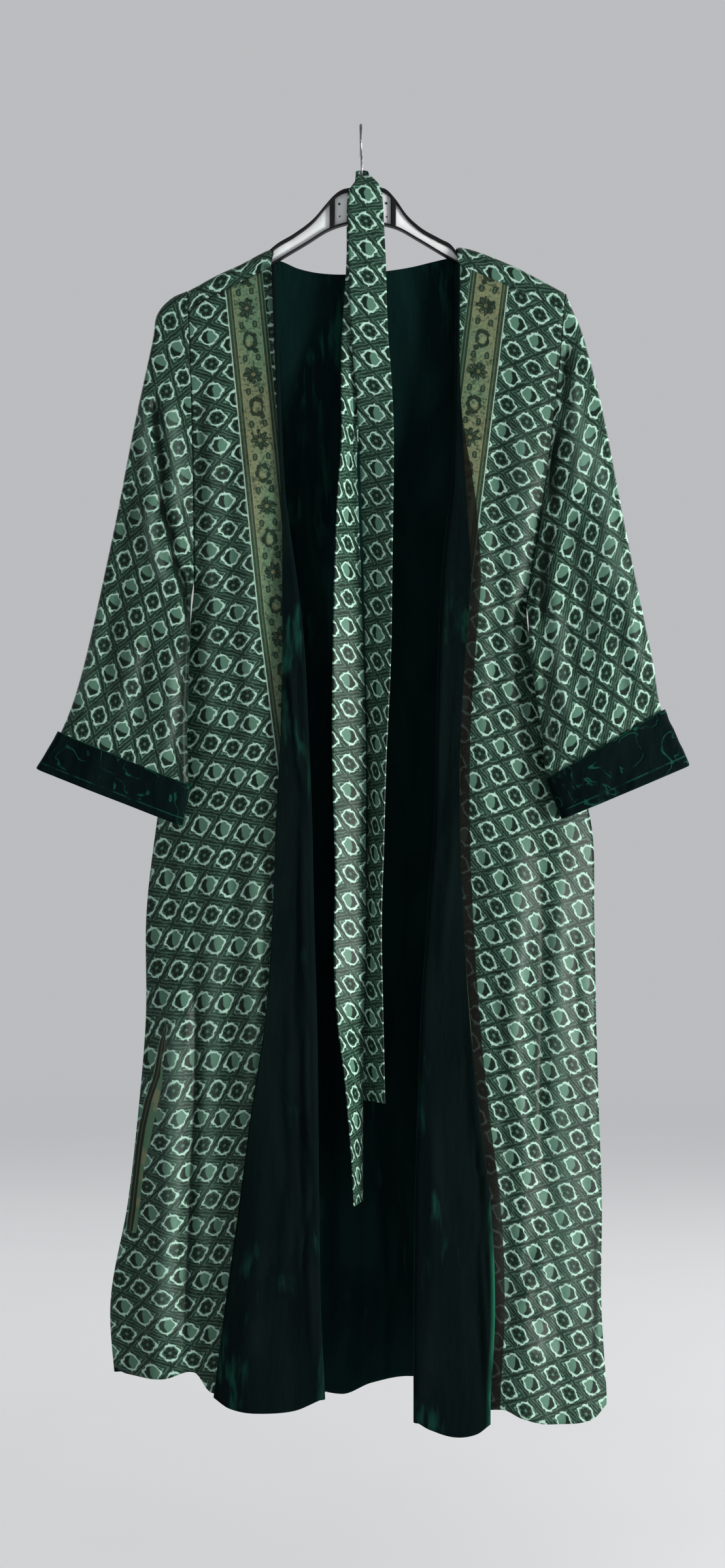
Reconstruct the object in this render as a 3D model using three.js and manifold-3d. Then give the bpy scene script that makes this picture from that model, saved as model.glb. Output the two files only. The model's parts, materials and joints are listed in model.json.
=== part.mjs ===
// A kimono robe of printed silk lined with velvet, on its hanger, with its own belt over the hook.
// Millimetres, +Z up, +Y to the back, +X to the wearer's left. The origin is where the hook bears on its peg.
import * as THREE from "three";
import Module from "manifold-3d";
import { mergeVertices } from "three/addons/utils/BufferGeometryUtils.js";

// ---- driving sizes ----
const SILK = 1.1; // wall of the printed silk
const VELVET = 1.5; // wall of the velvet lining
const GAP = 0.3; // between pieces
const SHOULDER_BEND = 9.5; // radius of the cloth where it passes over the hanger
const SHOULDER_SEAM = 20; // height of the shoulder seam below the fold, on the front
const LAPEL_BEND = 4.2; // radius of the fold of a turned-back front
const CUFF_DEPTH = 64; // turned-back velvet at the sleeve end
const HANGER_DEPTH = 10; // rim of the hanger, front to back
const WEB_DEPTH = 4;
const RIM = 2.8; // height of the black rim
const WIRE = 3; // hook wire diameter
const HOOK_INSIDE = 17; // inner radius of the hook
const BELT_WALL = 1.6;

// ---- outlines: one row for each level or section ----
// front panels: the side edge, the free edge of the turned-back lapel and its fold, with depths
const FRONT_RIGHT = [
  { z: -170.1, side: -188.7, edge: -96.4, fold: -93, yMid: -11, yFold: -10 },
  { z: -248.4, side: -188.2, edge: -93.3, fold: -89.9, yMid: -12.6, yFold: -11.2 },
  { z: -319.4, side: -183.6, edge: -90.5, fold: -87.1, yMid: -14.1, yFold: -12.3 },
  { z: -390.5, side: -181.4, edge: -87.1, fold: -83.6, yMid: -15.8, yFold: -13.9 },
  { z: -433.1, side: -180.6, edge: -85.3, fold: -78.8, yMid: -17, yFold: -15.3 },
  { z: -489.8, side: -181.7, edge: -85, fold: -70.7, yMid: -18.6, yFold: -17.2 },
  { z: -560.6, side: -188, edge: -84.6, fold: -62.5, yMid: -20.6, yFold: -19.5 },
  { z: -652.5, side: -206.6, edge: -86.1, fold: -57.7, yMid: -22.1, yFold: -21.8 },
  { z: -758.3, side: -222.4, edge: -91.3, fold: -53.4, yMid: -23.6, yFold: -24.2 },
  { z: -857, side: -233.6, edge: -94.8, fold: -51.4, yMid: -25, yFold: -26.4 },
  { z: -969.7, side: -234.3, edge: -102.9, fold: -48.2, yMid: -26.3, yFold: -28.5 },
  { z: -1068.3, side: -242.2, edge: -117.5, fold: -46.9, yMid: -27.1, yFold: -29.7 },
  { z: -1173.8, side: -254.3, edge: -131.2, fold: -45.8, yMid: -28, yFold: -31 },
  { z: -1279.3, side: -272.9, edge: -145.8, fold: -44.1, yMid: -28.9, yFold: -32.3 },
  { z: -1377.6, side: -267.2, edge: -158.3, fold: -39.3, yMid: -29.7, yFold: -33.5 },
];
const FRONT_LEFT = [
  { z: -170.1, side: 220, edge: 107.4, fold: 104, yMid: -11, yFold: -10 },
  { z: -248.4, side: 218.9, edge: 107, fold: 103.5, yMid: -12.6, yFold: -11.2 },
  { z: -319.4, side: 209, edge: 109.2, fold: 101.9, yMid: -14.1, yFold: -12.3 },
  { z: -390.5, side: 198.8, edge: 113.3, fold: 99.2, yMid: -15.8, yFold: -13.9 },
  { z: -433.1, side: 191.2, edge: 115.8, fold: 94.2, yMid: -17, yFold: -15.3 },
  { z: -489.8, side: 183.4, edge: 119.1, fold: 88.5, yMid: -18.6, yFold: -17.2 },
  { z: -560.6, side: 184.6, edge: 113.9, fold: 84.9, yMid: -20.6, yFold: -19.5 },
  { z: -652.5, side: 220.1, edge: 108, fold: 82.5, yMid: -22.1, yFold: -21.8 },
  { z: -758.3, side: 250.7, edge: 106.8, fold: 79.9, yMid: -23.6, yFold: -24.2 },
  { z: -857, side: 254.3, edge: 110.3, fold: 72.7, yMid: -25, yFold: -26.4 },
  { z: -969.7, side: 256.4, edge: 117.3, fold: 65.4, yMid: -26.3, yFold: -28.5 },
  { z: -1068.3, side: 259.3, edge: 127.1, fold: 61.9, yMid: -27.1, yFold: -29.7 },
  { z: -1173.8, side: 256.5, edge: 139.9, fold: 59, yMid: -28, yFold: -31 },
  { z: -1279.3, side: 253.5, edge: 143.9, fold: 57.6, yMid: -28.9, yFold: -32.3 },
  { z: -1377.6, side: 253.4, edge: 139.2, fold: 57.6, yMid: -29.7, yFold: -33.5 },
];
const BACK = [
  { z: -144.2, right: -189.5, left: 220.9, yMid: 10 },
  { z: -165.7, right: -189.5, left: 220.9, yMid: 10.9 },
  { z: -244.3, right: -188.9, left: 219.8, yMid: 14.6 },
  { z: -315.7, right: -184.3, left: 209.7, yMid: 18.6 },
  { z: -387.2, right: -182, left: 199.5, yMid: 22.1 },
  { z: -430.1, right: -181.2, left: 191.8, yMid: 23.7 },
  { z: -487.3, right: -182.3, left: 184, yMid: 25.8 },
  { z: -558.8, right: -188.3, left: 184.8, yMid: 28.5 },
  { z: -651.7, right: -206.8, left: 220.3, yMid: 29.9 },
  { z: -758.9, right: -222.5, left: 250.9, yMid: 31.1 },
  { z: -858.9, right: -233.7, left: 254.4, yMid: 32.2 },
  { z: -973.3, right: -234.4, left: 257.1, yMid: 33.3 },
  { z: -1073.4, right: -242.2, left: 260.1, yMid: 34.1 },
  { z: -1180.6, right: -254.4, left: 262.9, yMid: 35 },
  { z: -1287.8, right: -272.9, left: 262.3, yMid: 35.9 },
  { z: -1387.9, right: -267.2, left: 268.6, yMid: 36.7 },
];
const SLEEVE_RIGHT = [
  { xTop: -188.7, zTop: -179.9, yTop: 0, xUnder: -182.3, zUnder: -493.1, yUnder: 0, edge: 9.5, swell: 0, bow: 2 },
  { xTop: -206.5, zTop: -188.4, yTop: 0, xUnder: -183.6, zUnder: -502.9, yUnder: -6, edge: 9.5, swell: 0, bow: 2 },
  { xTop: -221.4, zTop: -206.2, yTop: 0, xUnder: -184.9, zUnder: -516.2, yUnder: -13, edge: 9.5, swell: 0.5, bow: 1.5 },
  { xTop: -226.3, zTop: -235.6, yTop: -1, xUnder: -185.2, zUnder: -533.6, yUnder: -18, edge: 9, swell: 1.5, bow: 1 },
  { xTop: -245.8, zTop: -328.9, yTop: -6, xUnder: -185.6, zUnder: -564.3, yUnder: -23, edge: 7, swell: 4, bow: 0 },
  { xTop: -269, zTop: -452.7, yTop: -15, xUnder: -186.7, zUnder: -606.1, yUnder: -27, edge: 5.5, swell: 6, bow: 0 },
  { xTop: -299.8, zTop: -594.7, yTop: -24, xUnder: -187.9, zUnder: -659.7, yUnder: -30, edge: 5, swell: 7, bow: 0 },
  { xTop: -322.5, zTop: -661.1, yTop: -28, xUnder: -187.1, zUnder: -716, yUnder: -31, edge: 5, swell: 7, bow: 0 },
  { xTop: -346.2, zTop: -699.1, yTop: -30, xUnder: -195.5, zUnder: -758.2, yUnder: -32, edge: 5, swell: 7, bow: 0 },
];
const SLEEVE_LEFT = [
  { xTop: 222.2, zTop: -182, yTop: 0, xUnder: 180.9, zUnder: -520.2, yUnder: 0, edge: 9.5, swell: 0, bow: 4 },
  { xTop: 227.1, zTop: -194.1, yTop: 0, xUnder: 182.2, zUnder: -529.9, yUnder: -6, edge: 9.5, swell: 0, bow: 3.5 },
  { xTop: 233.6, zTop: -209.1, yTop: 0, xUnder: 182.8, zUnder: -542.4, yUnder: -13, edge: 9.5, swell: 0.5, bow: 3 },
  { xTop: 242.7, zTop: -233.4, yTop: -1, xUnder: 182.8, zUnder: -556.2, yUnder: -18, edge: 9, swell: 1.5, bow: 2 },
  { xTop: 262.9, zTop: -315.4, yTop: -6, xUnder: 184.2, zUnder: -581.9, yUnder: -23, edge: 7, swell: 4, bow: 0 },
  { xTop: 286, zTop: -441.3, yTop: -15, xUnder: 188.9, zUnder: -615.9, yUnder: -27, edge: 5.5, swell: 6, bow: 0 },
  { xTop: 313.2, zTop: -578.4, yTop: -24, xUnder: 195.7, zUnder: -661.1, yUnder: -30, edge: 5, swell: 7, bow: 0 },
  { xTop: 323.3, zTop: -637.1, yTop: -28, xUnder: 201.2, zUnder: -709, yUnder: -31, edge: 5, swell: 7, bow: 0 },
  { xTop: 350.5, zTop: -694.9, yTop: -30, xUnder: 218, zUnder: -751.2, yUnder: -32, edge: 5, swell: 7, bow: 0 },
];
const SHOULDER = [
  { x: -188.7, z: -179.2 },
  { x: -154.5, z: -160.6 },
  { x: -131, z: -150 },
  { x: -105.4, z: -136.4 },
  { x: -94, z: -132.9 },
  { x: 98.3, z: -130.7 },
  { x: 113.9, z: -132.2 },
  { x: 130.3, z: -137.1 },
  { x: 162.4, z: -150 },
  { x: 183.7, z: -160.6 },
  { x: 222.2, z: -181.3 },
];
const NECK = [
  { x: -101.6, z: -143.1 },
  { x: -87.3, z: -144.5 },
  { x: -68.7, z: -152.4 },
  { x: -45.8, z: -157.4 },
  { x: -15.7, z: -158.8 },
  { x: 27.2, z: -155.2 },
  { x: 55.1, z: -150.9 },
  { x: 78.7, z: -145.2 },
  { x: 98.7, z: -140.9 },
  { x: 113, z: -140.9 },
];
const HANGER_TOP = [
  { x: -209.3, z: -201.2 },
  { x: -186.5, z: -187 },
  { x: -154.5, z: -168.5 },
  { x: -131, z: -157.8 },
  { x: -98.2, z: -143 },
  { x: -85.4, z: -132.2 },
  { x: -64.1, z: -116.5 },
  { x: -48.4, z: -100.8 },
  { x: -29.9, z: -75.9 },
  { x: -21.3, z: -69.5 },
  { x: 2.9, z: -66.3 },
  { x: 27.1, z: -68.1 },
  { x: 36.3, z: -74.5 },
  { x: 49.1, z: -96.6 },
  { x: 62.7, z: -110.1 },
  { x: 86.2, z: -122.2 },
  { x: 101.1, z: -138.9 },
  { x: 130.3, z: -146 },
  { x: 162.4, z: -157.8 },
  { x: 202.2, z: -178.4 },
  { x: 212.9, z: -186.3 },
];
const HANGER_UNDER = [
  { x: -206.5, z: -213.3 },
  { x: -178, z: -198.4 },
  { x: -131, z: -172 },
  { x: -96.1, z: -150.7 },
  { x: -60.5, z: -129.3 },
  { x: -32.7, z: -112.2 },
  { x: -15.6, z: -106.5 },
  { x: 2.9, z: -103.7 },
  { x: 24.9, z: -107.2 },
  { x: 39.9, z: -111.5 },
  { x: 62.7, z: -124.3 },
  { x: 94, z: -142.8 },
  { x: 113.9, z: -153.5 },
  { x: 162.4, z: -172.7 },
  { x: 198, z: -192 },
  { x: 209.3, z: -200.5 },
];
const BELT_RIGHT = [
  { x: -2.8, y: -10, z: -1171.3, width: 36, turn: 75 },
  { x: -4.2, y: -10, z: -1113.2, width: 40, turn: 72 },
  { x: -7.8, y: -12, z: -1030, width: 40, turn: 60 },
  { x: -11.3, y: -13, z: -967.5, width: 40, turn: 44 },
  { x: -12, y: -14, z: -893, width: 40, turn: 30 },
  { x: -11.3, y: -14, z: -815.1, width: 40, turn: 35 },
  { x: -12.7, y: -12.5, z: -684.1, width: 40, turn: 24 },
  { x: -14.1, y: -11.5, z: -546.6, width: 40, turn: 38 },
  { x: -14.2, y: -10.5, z: -409.7, width: 40, turn: 56 },
  { x: -12, y: -9.5, z: -340.7, width: 40, turn: 64 },
  { x: -4.2, y: -6, z: -283.2, width: 40, turn: 30 },
  { x: 0, y: -8, z: -219.2, width: 40, turn: 2 },
  { x: 4.3, y: -8.5, z: -148.3, width: 40, turn: 0 },
  { x: 4.3, y: -8.5, z: -107.8, width: 37, turn: 0 },
  { x: 0.7, y: -8.5, z: -84.4, width: 30, turn: 0 },
];
const BELT_LEFT = [
  { x: 14.3, y: -2, z: -1061.8, width: 40, turn: -54 },
  { x: 11.4, y: -4, z: -957.7, width: 40, turn: -52 },
  { x: 12.1, y: -4, z: -872.4, width: 40, turn: -60 },
  { x: 15.7, y: -6, z: -787, width: 40, turn: -64 },
  { x: 17.1, y: -8, z: -684.1, width: 40, turn: -59 },
  { x: 18.5, y: -11, z: -581.3, width: 40, turn: -47 },
  { x: 18.4, y: -13, z: -478.7, width: 40, turn: -40 },
  { x: 16.8, y: -14.5, z: -341.2, width: 40, turn: -22 },
  { x: 13.7, y: -14.5, z: -283.8, width: 40, turn: -8 },
  { x: 9.2, y: -13, z: -220, width: 40, turn: 0 },
  { x: 7.1, y: -12.5, z: -149.1, width: 40, turn: 0 },
  { x: 6.4, y: -12.5, z: -108.7, width: 38, turn: 0 },
  { x: 7.1, y: -12.5, z: -85.4, width: 31, turn: 0 },
];

// hems: height at each share of the panel's width (0 at the side), then along the turned lapel (0 at the fold)
const HEM_RIGHT = [
  { s: 0, z: -1351 }, { s: 0.06, z: -1357 }, { s: 0.25, z: -1358 }, { s: 0.4, z: -1352 }, { s: 0.47, z: -1372 }, { s: 0.75, z: -1376 }, { s: 1, z: -1377 },
];
const HEM_LAPEL_RIGHT = [
  { s: 0, z: -1377 }, { s: 0.25, z: -1389 }, { s: 0.6, z: -1391 }, { s: 0.85, z: -1386 }, { s: 1, z: -1375 },
];
const HEM_LEFT = [
  { s: 0, z: -1392 }, { s: 0.08, z: -1407 }, { s: 0.3, z: -1408 }, { s: 0.46, z: -1398 }, { s: 0.56, z: -1389 }, { s: 1, z: -1400 },
];
const HEM_LAPEL_LEFT = [
  { s: 0, z: -1402 }, { s: 0.15, z: -1409 }, { s: 0.5, z: -1417 }, { s: 0.8, z: -1414 }, { s: 1, z: -1403 },
];
const HEM_BACK = [
  { s: 0, z: -1358 }, { s: 0.2, z: -1366 }, { s: 0.35, z: -1376 }, { s: 0.46, z: -1390 }, { s: 0.52, z: -1378 }, { s: 0.61, z: -1372 }, { s: 0.78, z: -1382 }, { s: 0.92, z: -1394 }, { s: 1, z: -1391 },
];
// the large hanging folds: centre at the top and at the bottom, half width, how far they stand out (- to the front)
const FOLDS_RIGHT = [
  { xa: -150, za: -820, xb: -180, zb: -1420, half: 22, out: 6 },
  { xa: -205, za: -900, xb: -225, zb: -1420, half: 18, out: -7 },
  { xa: -100, za: -560, xb: -120, zb: -1420, half: 26, out: -4 },
];
const FOLDS_LEFT = [
  { xa: 150, za: -700, xb: 175, zb: -1440, half: 24, out: -6 },
  { xa: 205, za: -820, xb: 215, zb: -1440, half: 20, out: 6 },
];
const FOLDS_BACK = [
  { xa: -140, za: -380, xb: -185, zb: -1420, half: 30, out: 9 },
  { xa: -50, za: -300, xb: -80, zb: -1420, half: 34, out: -8 },
  { xa: 40, za: -320, xb: 45, zb: -1420, half: 30, out: 8 },
  { xa: 130, za: -380, xb: 165, zb: -1420, half: 34, out: -7 },
];

// ---- reading the tables ----
const at = (rows, key, t, by = "z") => {
  const up = rows[rows.length - 1][by] > rows[0][by] ? 1 : -1;
  let i = 0;
  while (i < rows.length - 2 && (t - rows[i + 1][by]) * up > 0) i++;
  const a = rows[i], b = rows[i + 1], h = b[by] - a[by];
  const f = Math.min(1, Math.max(0, (t - a[by]) / h));
  const slope = (k) => {
    const p = rows[Math.max(0, k - 1)], q = rows[Math.min(rows.length - 1, k + 1)];
    return (q[key] - p[key]) / (q[by] - p[by]);
  };
  const m0 = slope(i) * h, m1 = slope(i + 1) * h, f2 = f * f, f3 = f2 * f;
  return (2 * f3 - 3 * f2 + 1) * a[key] + (f3 - 2 * f2 + f) * m0 + (-2 * f3 + 3 * f2) * b[key] + (f3 - f2) * m1;
};
const lerp = (a, b, t) => a + (b - a) * t;
const ease = (a, b, t) => { const f = Math.min(1, Math.max(0, (t - a) / (b - a))); return f * f * (3 - 2 * f); };
const foldsAt = (folds, x, z) => folds.reduce((sum, f) => {
  const t = (z - f.za) / (f.zb - f.za);
  if (t <= 0) return sum;
  const d = (x - lerp(f.xa, f.xb, t)) / f.half;
  return sum + f.out * ease(0, 0.3, t) * Math.exp(-d * d);
}, 0);

// half the depth of a flattened tube, c running from -1 to 1 across a width of 2a
const halfDepth = (c, a, edge, swell) => {
  const e = Math.min(a * (1 - Math.abs(c)), edge) / edge;
  return edge * Math.sqrt(Math.max(0, 1 - (1 - e) * (1 - e))) + swell * (1 - c * c);
};
// the armhole is the first section of the sleeve
const armhole = (sleeve) => {
  const r = sleeve[0];
  const c = (z) => 1 - (2 * (r.zTop - z)) / (r.zTop - r.zUnder);
  const half = Math.hypot(r.xTop - r.xUnder, r.zTop - r.zUnder) / 2;
  return {
    under: r.zUnder,
    x: (z) => lerp(r.xTop, r.xUnder, (1 - Math.max(-1, Math.min(1, c(z)))) / 2) + r.bow * (1 - Math.min(1, c(z) ** 2)),
    depth: (z) => (z < r.zUnder ? 0 : halfDepth(Math.max(-1, Math.min(1, c(z))), half, r.edge, r.swell)),
  };
};
// the panels draw in a little where the bottom of the armhole turns into the side seam
const drawIn = (z, hole) => GAP + 3.2 * Math.exp(-(((z - hole.under + 8) / 22) ** 2));
// the fold over the hanger is half a stack below the outer line; the seam on the front is straight
const foldTop = (x) => at(SHOULDER, "z", x, "x") - SILK - GAP / 2;
const SEAM_ENDS = { right: [-98, -188], left: [107, 221] };
const seamLine = (x) => {
  const [a, b] = x < 0 ? SEAM_ENDS.right : SEAM_ENDS.left;
  return lerp(foldTop(a), foldTop(b), (x - a) / (b - a)) - SHOULDER_SEAM;
};
const seamY = (z) => 4 * ease(-500, -1300, z);
const SIDE_HALF = 2.6; // half the stack of the two panels at the side seam

// ---- the surfaces: each gives the middle line between silk and velvet ----
const front = (rows, folds, hem, hemLapel, sleeve) => {
  const hole = armhole(sleeve);
  const dir = Math.sign(rows[0].fold - rows[0].side);
  const side = (z) => (z > hole.under ? hole.x(z) : lerp(at(rows, "side", z), hole.x(z), ease(hole.under - 30, hole.under, z))) + dir * (GAP + drawIn(z, hole));
  const bend = (z) => Math.min(LAPEL_BEND, 2.3 + 0.12 * Math.max(0, Math.abs(at(rows, "edge", z) - at(rows, "fold", z)) - 4));
  const depth = (x, z) => {
    const a = side(z), b = at(rows, "fold", z), s = Math.min(1, Math.max(0, (x - a) / (b - a)));
    const y0 = seamY(z) - Math.max(SIDE_HALF, hole.depth(z)), y1 = at(rows, "yMid", z), y2 = at(rows, "yFold", z);
    const fall = 1 - (1 - s) ** 4;
    return lerp(y0, lerp(y1, y2, s), fall) + foldsAt(folds, x, z) * ease(0, 0.18, s);
  };
  // u: 0 to 1 across the panel, 1 to 2 round the fold, 2 to 3 back along the lapel
  return (u, v) => {
    const s = Math.min(1, u);
    let x = lerp(rows[0].side, rows[0].fold, s), top = 0;
    for (let k = 0; k < 6; k++) {
      top = seamLine(x) - GAP;
      x = lerp(side(top), at(rows, "fold", top) - dir * bend(top), s);
    }
    const foot = u <= 1 ? at(hem, "z", u, "s") : at(hemLapel, "z", Math.max(0, u - 2), "s");
    const z = lerp(top, foot, v), r = bend(z), turn = at(rows, "fold", z);
    const y = (xx) => depth(xx, z);
    if (u <= 1) { const xx = lerp(side(z), turn - dir * r, u); return [xx, y(xx), z]; }
    if (u <= 2) { const g = (0.5 - (u - 1)) * Math.PI, xx = turn - dir * r; return [xx + dir * r * Math.cos(g), y(xx) - r + r * Math.sin(g), z]; }
    const xx = lerp(turn - dir * r, at(rows, "edge", z), u - 2);
    return [xx, y(xx) - 2 * r, z];
  };
};
const back = (u, v) => {
  const R = SHOULDER_BEND, arc = (R * Math.PI) / 2;
  const holeR = armhole(SLEEVE_RIGHT), holeL = armhole(SLEEVE_LEFT);
  const right = (z) => (z > holeR.under ? holeR.x(z) : lerp(at(BACK, "right", z), holeR.x(z), ease(holeR.under - 30, holeR.under, z))) + GAP + drawIn(z, holeR);
  const left = (z) => (z > holeL.under ? holeL.x(z) : lerp(at(BACK, "left", z), holeL.x(z), ease(holeL.under - 30, holeL.under, z))) - GAP - drawIn(z, holeL);
  let x = lerp(right(-180), left(-180), u), top = 0;
  for (let k = 0; k < 6; k++) { top = foldTop(x); x = lerp(right(top - 10), left(top - 10), u); }
  // path over the shoulder: q is the run of cloth from the top of the fold, to the front below zero
  let edge = seamLine(x);
  for (let k = 0; k < 3; k++) edge = seamLine(lerp(right(edge), left(edge), u));
  const seam = -(arc + (top - R - edge));
  const neck = Math.min(ease(-98.5, -91.5, x), 1 - ease(100.5, 107.5, x));
  const start = lerp(seam, arc + (top - R - at(NECK, "z", x, "x")), neck);
  const turn = Math.max(arc + 3, start + 8);
  const foot = arc + (top - R - at(HEM_BACK, "z", u, "s"));
  const q = v < 0.25 ? lerp(start, turn, v / 0.25) : lerp(turn, foot, (v - 0.25) / 0.75);
  const swing = (z, xx) => {
    const s = (xx - right(z)) / (left(z) - right(z));
    const y0 = seamY(z) + Math.max(SIDE_HALF, lerp(holeR.depth(z), holeL.depth(z), ease(0.3, 0.7, s)));
    return lerp(y0, at(BACK, "yMid", z), 1 - Math.abs(2 * s - 1) ** 4) + foldsAt(FOLDS_BACK, xx, z) * (1 - Math.abs(2 * s - 1) ** 6);
  };
  if (Math.abs(q) <= arc) return [x, R * Math.sin(q / R), top - R * (1 - Math.cos(q / R))];
  const z = top - R - (Math.abs(q) - arc);
  const xx = lerp(right(z), left(z), u);
  if (q < 0) return [xx, -R, z];
  return [xx, lerp(R, swing(z, xx), ease(0, 70, q - arc)), z];
};
// sleeve sections: w is the row (it may lie between rows, or past the end), a full turn of p goes round
const sleevePoint = (rows, w, p) => {
  const n = rows.length - 1, i = Math.min(n - 1, Math.max(0, Math.floor(w))), f = w - i;
  const get = (k) => {
    const a = rows[i][k], b = rows[i + 1][k];
    if (i >= n - 1 || f < 0) return lerp(a, b, f);
    const before = rows[Math.max(0, i - 1)][k], after = rows[i + 2][k];
    const m0 = i > 0 ? (b - before) / 2 : b - a, m1 = (after - a) / 2, f2 = f * f, f3 = f2 * f;
    return (2 * f3 - 3 * f2 + 1) * a + (f3 - 2 * f2 + f) * m0 + (-2 * f3 + 3 * f2) * b + (f3 - f2) * m1;
  };
  const g = p * 2 * Math.PI, c = Math.cos(g), toFront = Math.sin(g) >= 0 ? -1 : 1;
  const xt = get("xTop"), zt = get("zTop"), xu = get("xUnder"), zu = get("zUnder");
  const half = Math.hypot(xt - xu, zt - zu) / 2;
  const s = (1 - c) / 2;
  return [lerp(xt, xu, s) + get("bow") * (1 - c * c), lerp(get("yTop"), get("yUnder"), s) + toFront * halfDepth(c, half, get("edge"), get("swell")), lerp(zt, zu, s)];
};

// ---- solids ----
// a closed mesh from a grid of points; round joins the last column to the first, ring joins the last row too
const solid = (grid, round, ring) => {
  const rows = grid.length, cols = grid[0].length, pos = [], tri = [];
  for (const row of grid) for (const p of row) pos.push(...p);
  const id = (i, j) => (i % rows) * cols + (j % cols);
  for (let i = 0; i < (ring ? rows : rows - 1); i++) for (let j = 0; j < (round ? cols : cols - 1); j++) {
    tri.push(id(i, j), id(i, j + 1), id(i + 1, j + 1), id(i, j), id(i + 1, j + 1), id(i + 1, j));
  }
  return closed(pos, tri);
};
const closed = (pos, tri) => {
  let volume = 0;
  for (let k = 0; k < tri.length; k += 3) {
    const [a, b, c] = [0, 1, 2].map((m) => new THREE.Vector3(...pos.slice(tri[k + m] * 3, tri[k + m] * 3 + 3)));
    volume += a.dot(b.cross(c)) / 6;
  }
  if (volume < 0) for (let k = 0; k < tri.length; k += 3) [tri[k + 1], tri[k + 2]] = [tri[k + 2], tri[k + 1]];
  const g = new THREE.BufferGeometry();
  g.setAttribute("position", new THREE.Float32BufferAttribute(pos, 3));
  g.setIndex(tri);
  g.computeVertexNormals();
  return g;
};
// normals of a surface given as a function of two numbers
const normalAt = (f, a, b, da, db) => {
  const [p, q, r, s] = [f(a - da, b), f(a + da, b), f(a, b - db), f(a, b + db)].map((v) => new THREE.Vector3(...v));
  return q.sub(p).cross(s.sub(r)).normalize();
};
// a wall over a surface, from "near" to "far" along its normals
const wall = (f, us, vs, near, far, flip = 1) => {
  const layer = (off) => vs.map((v) => us.map((u) => {
    const n = normalAt(f, Math.min(us[us.length - 1] - 1e-3, Math.max(1e-3, u)), Math.min(0.999, Math.max(0.001, v)), 1e-3, 1e-3);
    return new THREE.Vector3(...f(u, v)).addScaledVector(n, off * flip).toArray();
  }));
  const a = layer(near), b = layer(far), rows = vs.length, cols = us.length, pos = [], tri = [];
  for (const g of [a, b]) for (const row of g) for (const p of row) pos.push(...p);
  const id = (k, i, j) => k * rows * cols + i * cols + j;
  const quad = (p, q, r, s) => tri.push(p, q, r, p, r, s);
  for (let i = 0; i < rows - 1; i++) for (let j = 0; j < cols - 1; j++) {
    quad(id(0, i, j), id(0, i, j + 1), id(0, i + 1, j + 1), id(0, i + 1, j));
    quad(id(1, i + 1, j), id(1, i + 1, j + 1), id(1, i, j + 1), id(1, i, j));
  }
  for (let j = 0; j < cols - 1; j++) {
    quad(id(0, 0, j + 1), id(0, 0, j), id(1, 0, j), id(1, 0, j + 1));
    quad(id(0, rows - 1, j), id(0, rows - 1, j + 1), id(1, rows - 1, j + 1), id(1, rows - 1, j));
  }
  for (let i = 0; i < rows - 1; i++) {
    quad(id(0, i, 0), id(0, i + 1, 0), id(1, i + 1, 0), id(1, i, 0));
    quad(id(0, i + 1, cols - 1), id(0, i, cols - 1), id(1, i, cols - 1), id(1, i + 1, cols - 1));
  }
  return closed(pos, tri);
};
const steps = (a, b, n) => Array.from({ length: n + 1 }, (_, k) => lerp(a, b, k / n));

const LOOK = {
  silk: new THREE.MeshStandardMaterial({ name: "silk", color: 0x47725c, roughness: 0.45, side: THREE.DoubleSide }),
  velvet: new THREE.MeshStandardMaterial({ name: "velvet", color: 0x0a2a26, roughness: 0.9, side: THREE.DoubleSide }),
  belt: new THREE.MeshStandardMaterial({ name: "belt_silk", color: 0x3f6650, roughness: 0.45, side: THREE.DoubleSide }),
  web: new THREE.MeshStandardMaterial({ name: "hanger_grey", color: 0xb9b8b4, roughness: 0.5 }),
  rim: new THREE.MeshStandardMaterial({ name: "hanger_black", color: 0x191a1c, roughness: 0.45 }),
  wire: new THREE.MeshStandardMaterial({ name: "hook_steel", color: 0xa7a8aa, roughness: 0.3, metalness: 1 }),
};
const kimono = new THREE.Group();
const piece = (name, geometry, look) => {
  const m = new THREE.Mesh(geometry, look);
  m.name = name;
  kimono.add(m);
};

// ---- front panels: silk outside, velvet inside, one pair of walls each ----
const ACROSS = [0, 0.07, 0.2, 0.36, 0.52, 0.68, 0.84, 1, 1.25, 1.5, 1.75, 2, 2.3, 2.65, 3];
const DOWN = [0, 0.07, 0.15, 0.23, 0.28, 0.335, 0.4, 0.48, 0.57, 0.66, 0.75, 0.84, 0.92, 1];
const fronts = {
  right: front(FRONT_RIGHT, FOLDS_RIGHT, HEM_RIGHT, HEM_LAPEL_RIGHT, SLEEVE_RIGHT),
  left: front(FRONT_LEFT, FOLDS_LEFT, HEM_LEFT, HEM_LAPEL_LEFT, SLEEVE_LEFT),
};
for (const [hand, f] of Object.entries(fronts)) {
  const out = normalAt(f, 0.5, 0.5, 1e-3, 1e-3).y < 0 ? 1 : -1;
  piece(`front_${hand}_silk`, wall(f, ACROSS, DOWN, GAP / 2, GAP / 2 + SILK, out), LOOK.silk);
  piece(`front_${hand}_lining`, wall(f, ACROSS, DOWN, -GAP / 2, -GAP / 2 - VELVET, out), LOOK.velvet);
}

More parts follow.
